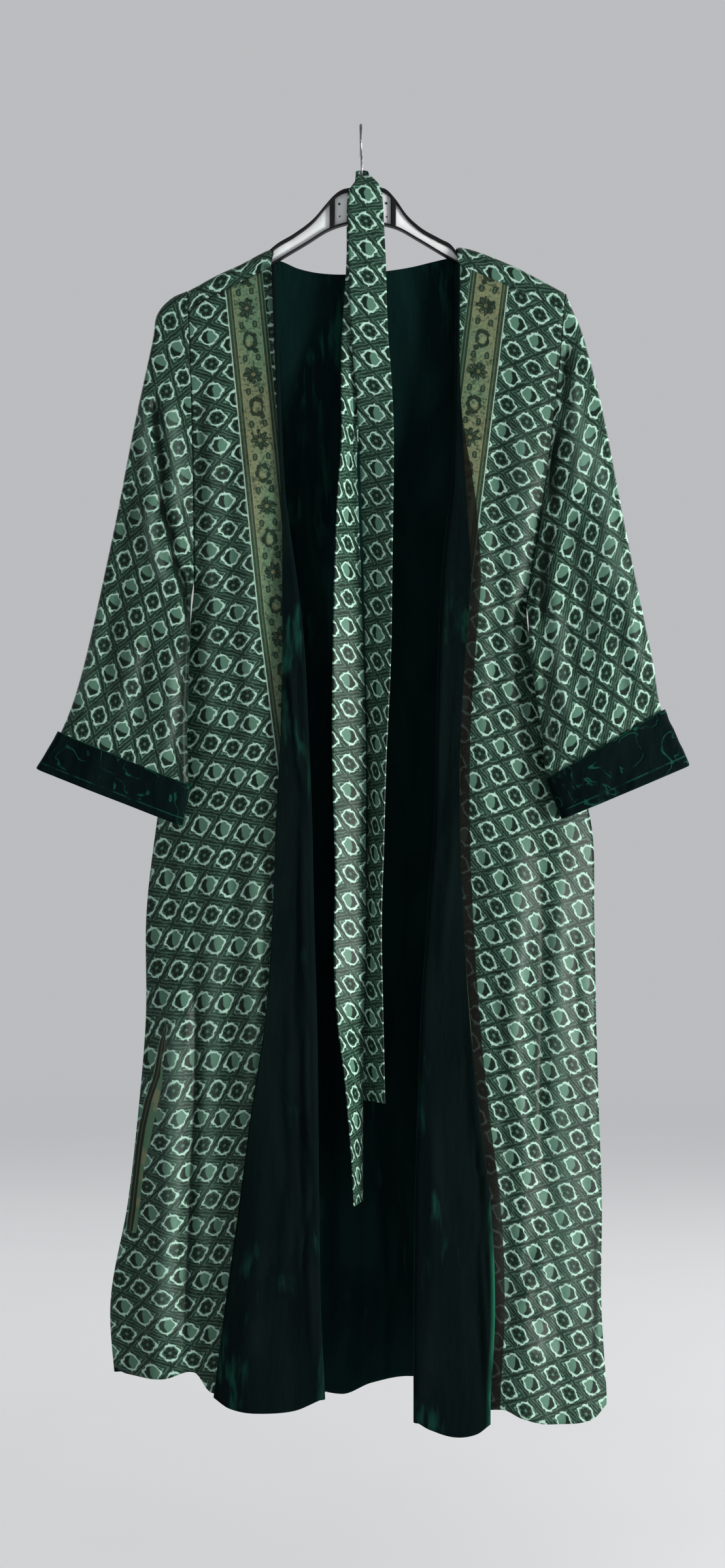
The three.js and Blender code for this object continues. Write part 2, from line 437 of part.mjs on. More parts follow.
// ---- back panel ----
// closer columns where the neck corner turns over the hanger
const NECK_CORNERS = [[-99.5, -97, -95.6, -94.4, -93, -90.5], [99.5, 102, 103.4, 104.6, 106, 108.5]];
const share = (x) => (x + 188.7) / (221.5 + 188.7);
const BACK_ACROSS = [0, 0.06, 0.14, ...NECK_CORNERS[0].map(share), 0.3, 0.38, 0.46, 0.54, 0.62, ...NECK_CORNERS[1].map(share), 0.8, 0.88, 0.95, 1];
const BACK_DOWN = [0, 0.05, 0.09, 0.13, 0.17, 0.21, 0.25, 0.31, 0.38, 0.445, 0.467, 0.487, 0.51, 0.59, 0.69, 0.8, 0.9, 1];
const backOut = normalAt(back, 0.5, 0.7, 1e-3, 1e-3).y > 0 ? 1 : -1;
piece("back_silk", wall(back, BACK_ACROSS, BACK_DOWN, GAP / 2, GAP / 2 + SILK, backOut), LOOK.silk);
piece("back_lining", wall(back, BACK_ACROSS, BACK_DOWN, -GAP / 2, -GAP / 2 - VELVET, backOut), LOOK.velvet);

// ---- sleeves and cuffs ----
const ROUND = 20;
for (const [hand, rows] of [["right", SLEEVE_RIGHT], ["left", SLEEVE_LEFT]]) {
  const n = rows.length - 1;
  const offset = (w, p, off) => {
    const f = (a, b) => sleevePoint(rows, a, b);
    const q = normalAt(f, w, p, 1e-3, 2e-3);
    if (w < 1e-6) q.setX(0).normalize(); // the armhole's edge stays in its own plane
    const m = new THREE.Vector3(...f(w, p));
    const c = Math.cos(p * 2 * Math.PI), mid = new THREE.Vector3(...f(w, 0)).lerp(new THREE.Vector3(...f(w, 0.5)), (1 - c) / 2);
    const sign = Math.abs(c) > 0.999 ? Math.sign(q.x * (c > 0 ? m.x - f(w, 0.5)[0] : m.x - f(w, 0)[0]) + q.z * (c > 0 ? m.z - f(w, 0.5)[2] : m.z - f(w, 0)[2])) : Math.sign(q.y * (m.y - mid.y));
    return m.addScaledVector(q, off * (sign || 1)).toArray();
  };
  const ps = steps(0, 1, ROUND).slice(0, -1);
  const ws = [...steps(0, n - 1, (n - 1) * 1), n];
  const tube = [...ws.map((w) => [w, GAP / 2 + SILK]), ...[...ws].reverse().map((w) => [w, GAP / 2])];
  piece(`sleeve_${hand}_silk`, solid(tube.map(([w, off]) => ps.map((p) => offset(w, p, off))), true, true), LOOK.silk);
  // the cuff goes down inside the sleeve, round its end and back up over the silk
  const o1 = GAP / 2 + SILK + GAP, o2 = o1 + VELVET, i1 = -GAP / 2, i2 = i1 - VELVET, past = (mm) => n + mm / CUFF_DEPTH;
  const section = [[n - 1, o1], [n - 1, o2], [n, o2], [past(1.8), o2 - 0.5], [past(2.4), 0.7], [past(1.8), i2 + 0.5], [n, i2], [n - 1, i2], [n - 1, i1], [n, i1], [past(0.4), 0.7], [n, o1]];
  piece(`cuff_${hand}`, solid(section.map(([w, off]) => ps.map((p) => offset(w, p, off))), true, true), LOOK.velvet);
}

// ---- belt: one ribbon, up one strand, behind the wire and down the other ----
const SADDLE = [
  { x: -8.5, y: -7.5, z: -68, width: 20, turn: 0, tilt: 0 },
  { x: -10.5, y: -3.5, z: -59, width: 16, turn: 0, tilt: 15 },
  { x: -9, y: 1, z: -51.5, width: 14, turn: 0, tilt: 40 },
  { x: -5, y: 4.6, z: -47, width: 14, turn: 0, tilt: 70 },
  { x: 1.2, y: 5.6, z: -45.8, width: 14, turn: 0, tilt: 90 },
  { x: 7.4, y: 4.6, z: -47, width: 14, turn: 0, tilt: 110 },
  { x: 11.4, y: 1, z: -51.5, width: 14, turn: 0, tilt: 140 },
  { x: 13, y: -4.5, z: -59, width: 16, turn: 0, tilt: 165 },
  { x: 12, y: -9.5, z: -68, width: 20, turn: 0, tilt: 180 },
];
const beltKeys = [...BELT_RIGHT.map((r) => ({ ...r, tilt: 0 })), ...SADDLE, ...[...BELT_LEFT].reverse().map((r) => ({ ...r, tilt: 180 }))];
const beltRun = beltKeys.reduce((sum, r, i) => [...sum, i ? sum[i - 1] + Math.hypot(r.x - beltKeys[i - 1].x, r.y - beltKeys[i - 1].y, r.z - beltKeys[i - 1].z) : 0], []);
const beltSlope = (key, i) => {
  const a = Math.max(0, i - 1), b = Math.min(beltKeys.length - 1, i + 1);
  return (beltKeys[b][key] - beltKeys[a][key]) / (beltRun[b] - beltRun[a]);
};
const BELT_STEP = 40, BELT_TWIST = 8;
const beltRows = beltKeys.flatMap((r, i) => {
  if (i === beltKeys.length - 1) return [r];
  const h = beltRun[i + 1] - beltRun[i], n = Math.max(1, Math.round(h / BELT_STEP), Math.ceil(Math.abs(beltKeys[i + 1].turn - r.turn) / BELT_TWIST));
  return Array.from({ length: n }, (_, j) => {
    const f = j / n, f2 = f * f, f3 = f2 * f, row = {};
    for (const key of ["x", "y", "z", "width", "turn", "tilt"]) {
      row[key] = (2 * f3 - 3 * f2 + 1) * r[key] + (f3 - 2 * f2 + f) * beltSlope(key, i) * h + (3 * f2 - 2 * f3) * beltKeys[i + 1][key] + (f3 - f2) * beltSlope(key, i + 1) * h;
    }
    return row;
  });
});
const beltSection = beltRows.map((r, i) => {
  const a = beltRows[Math.max(0, i - 1)], b = beltRows[Math.min(beltRows.length - 1, i + 1)];
  const along = new THREE.Vector3(b.x - a.x, b.y - a.y, b.z - a.z).normalize();
  const t = (r.turn * Math.PI) / 180, g = (r.tilt * Math.PI) / 180;
  const across = new THREE.Vector3(Math.cos(g) * Math.cos(t), Math.cos(g) * Math.sin(t), -Math.sin(g));
  across.addScaledVector(along, -across.dot(along)).normalize();
  const through = along.clone().cross(across).normalize();
  const m = new THREE.Vector3(r.x, r.y, r.z);
  return [[-1, -1], [1, -1], [1, 1], [-1, 1]].map(([k, l]) => m.clone().addScaledVector(across, (k * r.width) / 2).addScaledVector(through, (l * BELT_WALL) / 2).toArray());
});
{
  const pos = [], tri = [];
  for (const s of beltSection) for (const p of s) pos.push(...p);
  const last = beltSection.length - 1;
  for (let i = 0; i < last; i++) for (let j = 0; j < 4; j++) {
    const a = i * 4 + j, b = i * 4 + ((j + 1) % 4);
    // both faces are split along the same diagonal, so a twist never brings them together
    if (j === 2) tri.push(a, b, a + 4, b, b + 4, a + 4);
    else tri.push(a, b, b + 4, a, b + 4, a + 4);
  }
  tri.push(0, 2, 1, 0, 3, 2, last * 4, last * 4 + 1, last * 4 + 2, last * 4, last * 4 + 2, last * 4 + 3);
  piece("belt", closed(pos, tri), LOOK.belt);
}

// ---- hanger: grey web inside a black rim with two ribs, and a wire hook ----
const wasm = await Module();
wasm.setup();
const toSolid = (geometry) => {
  const g = geometry.clone();
  for (const name of Object.keys(g.attributes)) if (name !== "position") g.deleteAttribute(name);
  const m = mergeVertices(g, 1e-4);
  return new wasm.Manifold(new wasm.Mesh({ numProp: 3, vertProperties: new Float32Array(m.attributes.position.array), triVerts: new Uint32Array(m.index.array) }));
};
const fromSolid = (s) => {
  const m = s.getMesh(), g = new THREE.BufferGeometry();
  g.setAttribute("position", new THREE.BufferAttribute(new Float32Array(m.vertProperties), 3));
  g.setIndex(new THREE.BufferAttribute(new Uint32Array(m.triVerts), 1));
  g.computeVertexNormals();
  return g;
};
// the outline, drawn in by "inset", with rounded tips
const outline = (inset) => {
  const top = HANGER_TOP.map((r) => new THREE.Vector2(r.x, r.z)), under = HANGER_UNDER.map((r) => new THREE.Vector2(r.x, r.z));
  const tip = (a, b, out) => [0.25, 0.5, 0.75].map((k) => {
    const m = a.clone().lerp(b, 0.5), r = a.distanceTo(b) / 2, e = a.clone().sub(m).normalize(), o = out.clone().addScaledVector(e, -out.dot(e)).normalize();
    return m.clone().addScaledVector(e, r * Math.cos(k * Math.PI)).addScaledVector(o, r * Math.sin(k * Math.PI));
  });
  const pts = [...top, ...tip(top[top.length - 1], under[under.length - 1], new THREE.Vector2(1, -0.5)), ...[...under].reverse(), ...tip(under[0], top[0], new THREE.Vector2(-1, -0.5))];
  const n = pts.length;
  return pts.map((p, i) => {
    const a = pts[(i + n - 1) % n], b = pts[(i + 1) % n];
    const e1 = p.clone().sub(a).normalize(), e2 = b.clone().sub(p).normalize();
    const m = new THREE.Vector2(e1.y + e2.y, -e1.x - e2.x).normalize();
    const k = Math.min(1.6, 1 / Math.max(0.5, m.dot(new THREE.Vector2(e1.y, -e1.x))));
    return p.clone().addScaledVector(m, inset * k);
  });
};
const plate = (pts, depth, holes = []) => {
  const shape = new THREE.Shape(pts);
  for (const h of holes) shape.holes.push(new THREE.Path(h));
  const g = new THREE.ExtrudeGeometry(shape, { depth, bevelEnabled: false });
  g.rotateX(Math.PI / 2); // the outline's second axis becomes +Z, the depth runs to -Y
  g.translate(0, depth / 2, 0);
  return g;
};
const rimHole = outline(RIM).reverse();
let rim = toSolid(plate(outline(0), HANGER_DEPTH, [rimHole]));
for (const rib of [{ x: -31.5, top: -78, under: -109 }, { x: 36.5, top: -78, under: -107.5 }]) {
  const g = new THREE.BoxGeometry(5, HANGER_DEPTH / 2 - WEB_DEPTH / 2 - GAP, rib.top - rib.under);
  g.translate(rib.x, -(HANGER_DEPTH / 2 + WEB_DEPTH / 2 + GAP) / 2, (rib.top + rib.under) / 2);
  rim = rim.add(toSolid(g));
}
piece("hanger_rim", fromSolid(rim), LOOK.rim);
piece("hanger_web", fromSolid(toSolid(plate(outline(RIM + GAP), WEB_DEPTH))), LOOK.web);

// the hook: up from the block, out to the front, over the peg and down behind it
const r = HOOK_INSIDE + WIRE / 2;
const hookRows = [{ x: 1.5, y: 0, z: -66.3 + GAP }, { x: 1.3, y: 0, z: -56 }, { x: 1.1, y: -1.2, z: -46 }, { x: 0.8, y: -7, z: -37 }, { x: 0.4, y: -14.2, z: -29 }];
for (const deg of steps(195, -35, 12)) {
  const a = (deg * Math.PI) / 180;
  hookRows.push({ x: 0, y: r * Math.cos(a), z: -HOOK_INSIDE + r * Math.sin(a) });
}
const hookPath = new THREE.CatmullRomCurve3(hookRows.map((p) => new THREE.Vector3(p.x, p.y, p.z)), false, "centripetal");
const ringShape = new THREE.Shape(steps(0, 2 * Math.PI, 8).slice(0, -1).map((a) => new THREE.Vector2((WIRE / 2) * Math.cos(a), (WIRE / 2) * Math.sin(a))));
const hook = new THREE.ExtrudeGeometry(ringShape, { steps: 40, extrudePath: hookPath, bevelEnabled: false });
piece("hanger_hook", fromSolid(toSolid(hook)), LOOK.wire);

export default kimono;
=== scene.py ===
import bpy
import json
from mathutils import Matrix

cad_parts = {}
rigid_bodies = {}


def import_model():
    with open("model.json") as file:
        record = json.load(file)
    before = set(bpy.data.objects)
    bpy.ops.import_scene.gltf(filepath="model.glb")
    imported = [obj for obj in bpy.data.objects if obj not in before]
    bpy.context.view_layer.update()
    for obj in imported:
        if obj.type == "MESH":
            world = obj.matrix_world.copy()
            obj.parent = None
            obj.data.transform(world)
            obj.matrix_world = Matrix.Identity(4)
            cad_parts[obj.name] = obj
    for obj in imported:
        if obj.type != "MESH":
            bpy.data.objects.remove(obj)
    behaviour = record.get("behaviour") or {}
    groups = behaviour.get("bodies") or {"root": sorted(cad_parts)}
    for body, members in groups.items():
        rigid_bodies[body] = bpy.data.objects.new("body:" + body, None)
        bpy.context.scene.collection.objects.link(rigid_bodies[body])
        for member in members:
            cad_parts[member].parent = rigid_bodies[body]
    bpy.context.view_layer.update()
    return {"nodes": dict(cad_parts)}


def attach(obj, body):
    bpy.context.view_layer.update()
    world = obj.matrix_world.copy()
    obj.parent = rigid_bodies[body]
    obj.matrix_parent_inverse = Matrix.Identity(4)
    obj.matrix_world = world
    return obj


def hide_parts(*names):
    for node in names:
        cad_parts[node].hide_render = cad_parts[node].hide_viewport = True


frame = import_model()

import json
import math
import bpy
import numpy as np

# A kimono robe of printed silk lined with velvet, on its hanger, with its own belt over the hook.
# The tables are in millimetres: x to the wearer's left, y to the back, z up, from inside the top of the hook.

# ------------------------------------------------------------------ camera, floor, light
scene = bpy.context.scene
scene.view_settings.view_transform = "Standard"
scene.view_settings.look = "None"
scene.view_settings.exposure = 0.0
scene.view_settings.gamma = 1.0

cam_data = bpy.data.cameras.new("camera")
cam_data.sensor_fit = "AUTO"
cam_data.sensor_width = 36.0
cam_data.lens = 54.77
cam_data.clip_start = 0.05
cam_data.clip_end = 100.0
camera = bpy.data.objects.new("camera", cam_data)
camera.location = (0.0018, -2.6, -0.716)
camera.rotation_euler = (math.pi / 2, 0.0, 0.0)
scene.collection.objects.link(camera)
scene.camera = camera


def srgb(r, g, b):
    out = []
    for c in (r, g, b):
        c = c / 255.0
        out.append(c / 12.92 if c <= 0.04045 else ((c + 0.055) / 1.055) ** 2.4)
    return (out[0], out[1], out[2], 1.0)


WORLD_STRENGTH = 0.62
world = bpy.data.worlds.new("world")
scene.world = world
world.use_nodes = True
world.node_tree.nodes["Background"].inputs["Color"].default_value = (0.80, 0.815, 0.84, 1.0)
world.node_tree.nodes["Background"].inputs["Strength"].default_value = WORLD_STRENGTH


def area_light(name, location, target, size, watts, colour=(1, 1, 1)):
    data = bpy.data.lights.new(name, "AREA")
    data.shape = "RECTANGLE"
    data.size, data.size_y = size
    data.energy = watts
    data.color = colour
    o = bpy.data.objects.new(name, data)
    o.location = location
    d = np.array(target, float) - np.array(location, float)
    d /= np.linalg.norm(d)
    # the light looks down its own -Z
    yaw = math.atan2(d[1], d[0])
    pitch = math.acos(max(-1.0, min(1.0, -d[2])))
    o.rotation_euler = (pitch, 0.0, yaw - math.pi / 2)
    scene.collection.objects.link(o)
    return o


area_light("key_right", (3.0, -1.75, -0.95), (0.0, 0.0, -0.85), (0.9, 0.9), 165, (1.0, 0.985, 0.96))
area_light("fill_left", (-2.4, -2.2, -0.6), (0.0, 0.0, -0.9), (2.0, 2.0), 2, (0.95, 0.98, 1.0))
area_light("top", (0.2, -0.6, 2.2), (0.0, 0.0, -0.6), (1.6, 1.2), 4)
area_light("behind_left", (-1.9, 2.4, 0.2), (0.0, 0.0, -0.7), (1.6, 1.6), 16)
area_light("behind_right", (2.2, 2.0, 0.3), (0.0, 0.0, -0.8), (1.6, 1.6), 26)
FRONT_RIGHT = [  # z, side, edge, fold, yMid, yFold
    dict(z=-170.1, side=-188.7, edge=-96.4, fold=-93, yMid=-11, yFold=-10),
    dict(z=-248.4, side=-188.2, edge=-93.3, fold=-89.9, yMid=-12.6, yFold=-11.2),
    dict(z=-319.4, side=-183.6, edge=-90.5, fold=-87.1, yMid=-14.1, yFold=-12.3),
    dict(z=-390.5, side=-181.4, edge=-87.1, fold=-83.6, yMid=-15.8, yFold=-13.9),
    dict(z=-433.1, side=-180.6, edge=-85.3, fold=-78.8, yMid=-17, yFold=-15.3),
    dict(z=-489.8, side=-181.7, edge=-85, fold=-70.7, yMid=-18.6, yFold=-17.2),
    dict(z=-560.6, side=-188, edge=-84.6, fold=-62.5, yMid=-20.6, yFold=-19.5),
    dict(z=-652.5, side=-206.6, edge=-86.1, fold=-57.7, yMid=-22.1, yFold=-21.8),
    dict(z=-758.3, side=-222.4, edge=-91.3, fold=-53.4, yMid=-23.6, yFold=-24.2),
    dict(z=-857, side=-233.6, edge=-94.8, fold=-51.4, yMid=-25, yFold=-26.4),
    dict(z=-969.7, side=-234.3, edge=-102.9, fold=-48.2, yMid=-26.3, yFold=-28.5),
    dict(z=-1068.3, side=-242.2, edge=-117.5, fold=-46.9, yMid=-27.1, yFold=-29.7),
    dict(z=-1173.8, side=-254.3, edge=-131.2, fold=-45.8, yMid=-28, yFold=-31),
    dict(z=-1279.3, side=-272.9, edge=-145.8, fold=-44.1, yMid=-28.9, yFold=-32.3),
    dict(z=-1377.6, side=-267.2, edge=-158.3, fold=-39.3, yMid=-29.7, yFold=-33.5),
]
FRONT_LEFT = [  # z, side, edge, fold, yMid, yFold
    dict(z=-170.1, side=220, edge=107.4, fold=104, yMid=-11, yFold=-10),
    dict(z=-248.4, side=218.9, edge=107, fold=103.5, yMid=-12.6, yFold=-11.2),
    dict(z=-319.4, side=209, edge=109.2, fold=101.9, yMid=-14.1, yFold=-12.3),
    dict(z=-390.5, side=198.8, edge=113.3, fold=99.2, yMid=-15.8, yFold=-13.9),
    dict(z=-433.1, side=191.2, edge=115.8, fold=94.2, yMid=-17, yFold=-15.3),
    dict(z=-489.8, side=183.4, edge=119.1, fold=88.5, yMid=-18.6, yFold=-17.2),
    dict(z=-560.6, side=184.6, edge=113.9, fold=84.9, yMid=-20.6, yFold=-19.5),
    dict(z=-652.5, side=220.1, edge=108, fold=82.5, yMid=-22.1, yFold=-21.8),
    dict(z=-758.3, side=250.7, edge=106.8, fold=79.9, yMid=-23.6, yFold=-24.2),
    dict(z=-857, side=254.3, edge=110.3, fold=72.7, yMid=-25, yFold=-26.4),
    dict(z=-969.7, side=256.4, edge=117.3, fold=65.4, yMid=-26.3, yFold=-28.5),
    dict(z=-1068.3, side=259.3, edge=127.1, fold=61.9, yMid=-27.1, yFold=-29.7),
    dict(z=-1173.8, side=256.5, edge=139.9, fold=59, yMid=-28, yFold=-31),
    dict(z=-1279.3, side=253.5, edge=143.9, fold=57.6, yMid=-28.9, yFold=-32.3),
    dict(z=-1377.6, side=253.4, edge=139.2, fold=57.6, yMid=-29.7, yFold=-33.5),
]
BACK = [  # z, right, left, yMid
    dict(z=-144.2, right=-189.5, left=220.9, yMid=10),
    dict(z=-165.7, right=-189.5, left=220.9, yMid=10.9),
    dict(z=-244.3, right=-188.9, left=219.8, yMid=14.6),
    dict(z=-315.7, right=-184.3, left=209.7, yMid=18.6),
    dict(z=-387.2, right=-182, left=199.5, yMid=22.1),
    dict(z=-430.1, right=-181.2, left=191.8, yMid=23.7),
    dict(z=-487.3, right=-182.3, left=184, yMid=25.8),
    dict(z=-558.8, right=-188.3, left=184.8, yMid=28.5),
    dict(z=-651.7, right=-206.8, left=220.3, yMid=29.9),
    dict(z=-758.9, right=-222.5, left=250.9, yMid=31.1),
    dict(z=-858.9, right=-233.7, left=254.4, yMid=32.2),
    dict(z=-973.3, right=-234.4, left=257.1, yMid=33.3),
    dict(z=-1073.4, right=-242.2, left=260.1, yMid=34.1),
    dict(z=-1180.6, right=-254.4, left=262.9, yMid=35),
    dict(z=-1287.8, right=-272.9, left=262.3, yMid=35.9),
    dict(z=-1387.9, right=-267.2, left=268.6, yMid=36.7),
]
SLEEVE_RIGHT = [  # xTop, zTop, yTop, xUnder, zUnder, yUnder, edge, swell, bow
    dict(xTop=-188.7, zTop=-179.9, yTop=0, xUnder=-182.3, zUnder=-493.1, yUnder=0, edge=9.5, swell=0, bow=2),
    dict(xTop=-206.5, zTop=-188.4, yTop=0, xUnder=-183.6, zUnder=-502.9, yUnder=-6, edge=9.5, swell=0, bow=2),
    dict(xTop=-221.4, zTop=-206.2, yTop=0, xUnder=-184.9, zUnder=-516.2, yUnder=-13, edge=9.5, swell=0.5, bow=1.5),
    dict(xTop=-226.3, zTop=-235.6, yTop=-1, xUnder=-185.2, zUnder=-533.6, yUnder=-18, edge=9, swell=1.5, bow=1),
    dict(xTop=-245.8, zTop=-328.9, yTop=-6, xUnder=-185.6, zUnder=-564.3, yUnder=-23, edge=7, swell=4, bow=0),
    dict(xTop=-269, zTop=-452.7, yTop=-15, xUnder=-186.7, zUnder=-606.1, yUnder=-27, edge=5.5, swell=6, bow=0),
    dict(xTop=-299.8, zTop=-594.7, yTop=-24, xUnder=-187.9, zUnder=-659.7, yUnder=-30, edge=5, swell=7, bow=0),
    dict(xTop=-322.5, zTop=-661.1, yTop=-28, xUnder=-187.1, zUnder=-716, yUnder=-31, edge=5, swell=7, bow=0),
    dict(xTop=-346.2, zTop=-699.1, yTop=-30, xUnder=-195.5, zUnder=-758.2, yUnder=-32, edge=5, swell=7, bow=0),
]
SLEEVE_LEFT = [  # xTop, zTop, yTop, xUnder, zUnder, yUnder, edge, swell, bow
    dict(xTop=222.2, zTop=-182, yTop=0, xUnder=180.9, zUnder=-520.2, yUnder=0, edge=9.5, swell=0, bow=4),
    dict(xTop=227.1, zTop=-194.1, yTop=0, xUnder=182.2, zUnder=-529.9, yUnder=-6, edge=9.5, swell=0, bow=3.5),
    dict(xTop=233.6, zTop=-209.1, yTop=0, xUnder=182.8, zUnder=-542.4, yUnder=-13, edge=9.5, swell=0.5, bow=3),
    dict(xTop=242.7, zTop=-233.4, yTop=-1, xUnder=182.8, zUnder=-556.2, yUnder=-18, edge=9, swell=1.5, bow=2),
    dict(xTop=262.9, zTop=-315.4, yTop=-6, xUnder=184.2, zUnder=-581.9, yUnder=-23, edge=7, swell=4, bow=0),
    dict(xTop=286, zTop=-441.3, yTop=-15, xUnder=188.9, zUnder=-615.9, yUnder=-27, edge=5.5, swell=6, bow=0),
    dict(xTop=313.2, zTop=-578.4, yTop=-24, xUnder=195.7, zUnder=-661.1, yUnder=-30, edge=5, swell=7, bow=0),
    dict(xTop=323.3, zTop=-637.1, yTop=-28, xUnder=201.2, zUnder=-709, yUnder=-31, edge=5, swell=7, bow=0),
    dict(xTop=350.5, zTop=-694.9, yTop=-30, xUnder=218, zUnder=-751.2, yUnder=-32, edge=5, swell=7, bow=0),
]
SHOULDER = [  # x, z
    dict(x=-188.7, z=-179.2),
    dict(x=-154.5, z=-160.6),
    dict(x=-131, z=-150),
    dict(x=-105.4, z=-136.4),
    dict(x=-94, z=-132.9),
    dict(x=98.3, z=-130.7),
    dict(x=113.9, z=-132.2),
    dict(x=130.3, z=-137.1),
    dict(x=162.4, z=-150),
    dict(x=183.7, z=-160.6),
    dict(x=222.2, z=-181.3),
]
NECK = [  # x, z
    dict(x=-101.6, z=-143.1),
    dict(x=-87.3, z=-144.5),
    dict(x=-68.7, z=-152.4),
    dict(x=-45.8, z=-157.4),
    dict(x=-15.7, z=-158.8),
    dict(x=27.2, z=-155.2),
    dict(x=55.1, z=-150.9),
    dict(x=78.7, z=-145.2),
    dict(x=98.7, z=-140.9),
    dict(x=113, z=-140.9),
]
HANGER_TOP = [  # x, z
    dict(x=-209.3, z=-201.2),
    dict(x=-186.5, z=-187),
    dict(x=-154.5, z=-168.5),
    dict(x=-131, z=-157.8),
    dict(x=-98.2, z=-143),
    dict(x=-85.4, z=-132.2),
    dict(x=-64.1, z=-116.5),
    dict(x=-48.4, z=-100.8),
    dict(x=-29.9, z=-75.9),
    dict(x=-21.3, z=-69.5),
    dict(x=2.9, z=-66.3),
    dict(x=27.1, z=-68.1),
    dict(x=36.3, z=-74.5),
    dict(x=49.1, z=-96.6),
    dict(x=62.7, z=-110.1),
    dict(x=86.2, z=-122.2),
    dict(x=101.1, z=-138.9),
    dict(x=130.3, z=-146),
    dict(x=162.4, z=-157.8),
    dict(x=202.2, z=-178.4),
    dict(x=212.9, z=-186.3),
]
HANGER_UNDER = [  # x, z
    dict(x=-206.5, z=-213.3),
    dict(x=-178, z=-198.4),
    dict(x=-131, z=-172),
    dict(x=-96.1, z=-150.7),
    dict(x=-60.5, z=-129.3),
    dict(x=-32.7, z=-112.2),
    dict(x=-15.6, z=-106.5),
    dict(x=2.9, z=-103.7),
    dict(x=24.9, z=-107.2),
    dict(x=39.9, z=-111.5),
    dict(x=62.7, z=-124.3),
    dict(x=94, z=-142.8),
    dict(x=113.9, z=-153.5),
    dict(x=162.4, z=-172.7),
    dict(x=198, z=-192),
    dict(x=209.3, z=-200.5),
]
BELT_RIGHT = [  # x, y, z, width, turn
    dict(x=-2.8, y=-10, z=-1171.3, width=36, turn=75),
    dict(x=-4.2, y=-10, z=-1113.2, width=40, turn=72),
    dict(x=-7.8, y=-12, z=-1030, width=40, turn=60),
    dict(x=-11.3, y=-13, z=-967.5, width=40, turn=44),
    dict(x=-12, y=-14, z=-893, width=40, turn=30),
    dict(x=-11.3, y=-14, z=-815.1, width=40, turn=35),
    dict(x=-12.7, y=-12.5, z=-684.1, width=40, turn=24),
    dict(x=-14.1, y=-11.5, z=-546.6, width=40, turn=38),
    dict(x=-14.2, y=-10.5, z=-409.7, width=40, turn=56),
    dict(x=-12, y=-9.5, z=-340.7, width=40, turn=64),
    dict(x=-4.2, y=-6, z=-283.2, width=40, turn=30),
    dict(x=0, y=-8, z=-219.2, width=40, turn=2),
    dict(x=4.3, y=-8.5, z=-148.3, width=40, turn=0),
    dict(x=4.3, y=-8.5, z=-107.8, width=37, turn=0),
    dict(x=0.7, y=-8.5, z=-84.4, width=30, turn=0),
]
BELT_LEFT = [  # x, y, z, width, turn
    dict(x=14.3, y=-2, z=-1061.8, width=40, turn=-54),
    dict(x=11.4, y=-4, z=-957.7, width=40, turn=-52),
    dict(x=12.1, y=-4, z=-872.4, width=40, turn=-60),
    dict(x=15.7, y=-6, z=-787, width=40, turn=-64),
    dict(x=17.1, y=-8, z=-684.1, width=40, turn=-59),
    dict(x=18.5, y=-11, z=-581.3, width=40, turn=-47),
    dict(x=18.4, y=-13, z=-478.7, width=40, turn=-40),
    dict(x=16.8, y=-14.5, z=-341.2, width=40, turn=-22),
    dict(x=13.7, y=-14.5, z=-283.8, width=40, turn=-8),
    dict(x=9.2, y=-13, z=-220, width=40, turn=0),
    dict(x=7.1, y=-12.5, z=-149.1, width=40, turn=0),
    dict(x=6.4, y=-12.5, z=-108.7, width=38, turn=0),
    dict(x=7.1, y=-12.5, z=-85.4, width=31, turn=0),
]
CREASES_FRONT_RIGHT = [  # from (xa, za) to (xb, zb), half width, how far out (- to the front)
    dict(xa=-175.8, za=-264.2, xb=-177.9, zb=-507.7, half=7, out=3.0),
    dict(xa=-156.7, za=-292.4, xb=-162.3, zb=-701.9, half=13, out=-2.2),
    dict(xa=-141.2, za=-306.5, xb=-135.5, zb=-680.7, half=10, out=1.4),
    dict(xa=-117.9, za=-320.7, xb=-127.0, zb=-744.2, half=12, out=-1.6),
    dict(xa=-177.2, za=-751.3, xb=-180.0, zb=-970.2, half=9, out=2.0),
    dict(xa=-177.9, za=-913.7, xb=-189.2, zb=-1351.4, half=6, out=4.2),
    dict(xa=-197.6, za=-927.8, xb=-216.0, zb=-1344.3, half=11, out=-3.4),
    dict(xa=-156.7, za=-807.8, xb=-165.2, zb=-1344.3, half=14, out=-2.6),
    dict(xa=-131.3, za=-744.2, xb=-142.6, zb=-1083.1, half=10, out=1.8),
    dict(xa=-108.7, za=-751.3, xb=-127.0, zb=-1111.3, half=12, out=-2.0),
    dict(xa=-230.1, za=-1026.6, xb=-251.3, zb=-1337.3, half=8, out=1.8),
    dict(xa=-141.2, za=-1160.8, xb=-177.9, zb=-1344.3, half=9, out=2.2),
    dict(xa=-105.9, za=-442.1, xb=-87.5, zb=-467.5, half=2.6, out=-1.5),
    dict(xa=-108.7, za=-459.0, xb=-91.7, zb=-480.2, half=2.4, out=1.6),
    dict(xa=-104.4, za=-481.6, xb=-90.3, zb=-492.9, half=2.4, out=-1.4),
    dict(xa=-112.9, za=-507.7, xb=-93.2, zb=-525.4, half=3, out=1.2),
    dict(xa=-209.6, za=-737.2, xb=-204.7, zb=-927.8, half=7, out=1.4),
    dict(xa=-223.1, za=-779.5, xb=-225.2, zb=-913.7, half=6, out=-1.2),
    dict(xa=-165.2, za=-507.7, xb=-177.9, zb=-581.9, half=4, out=1.5),
]
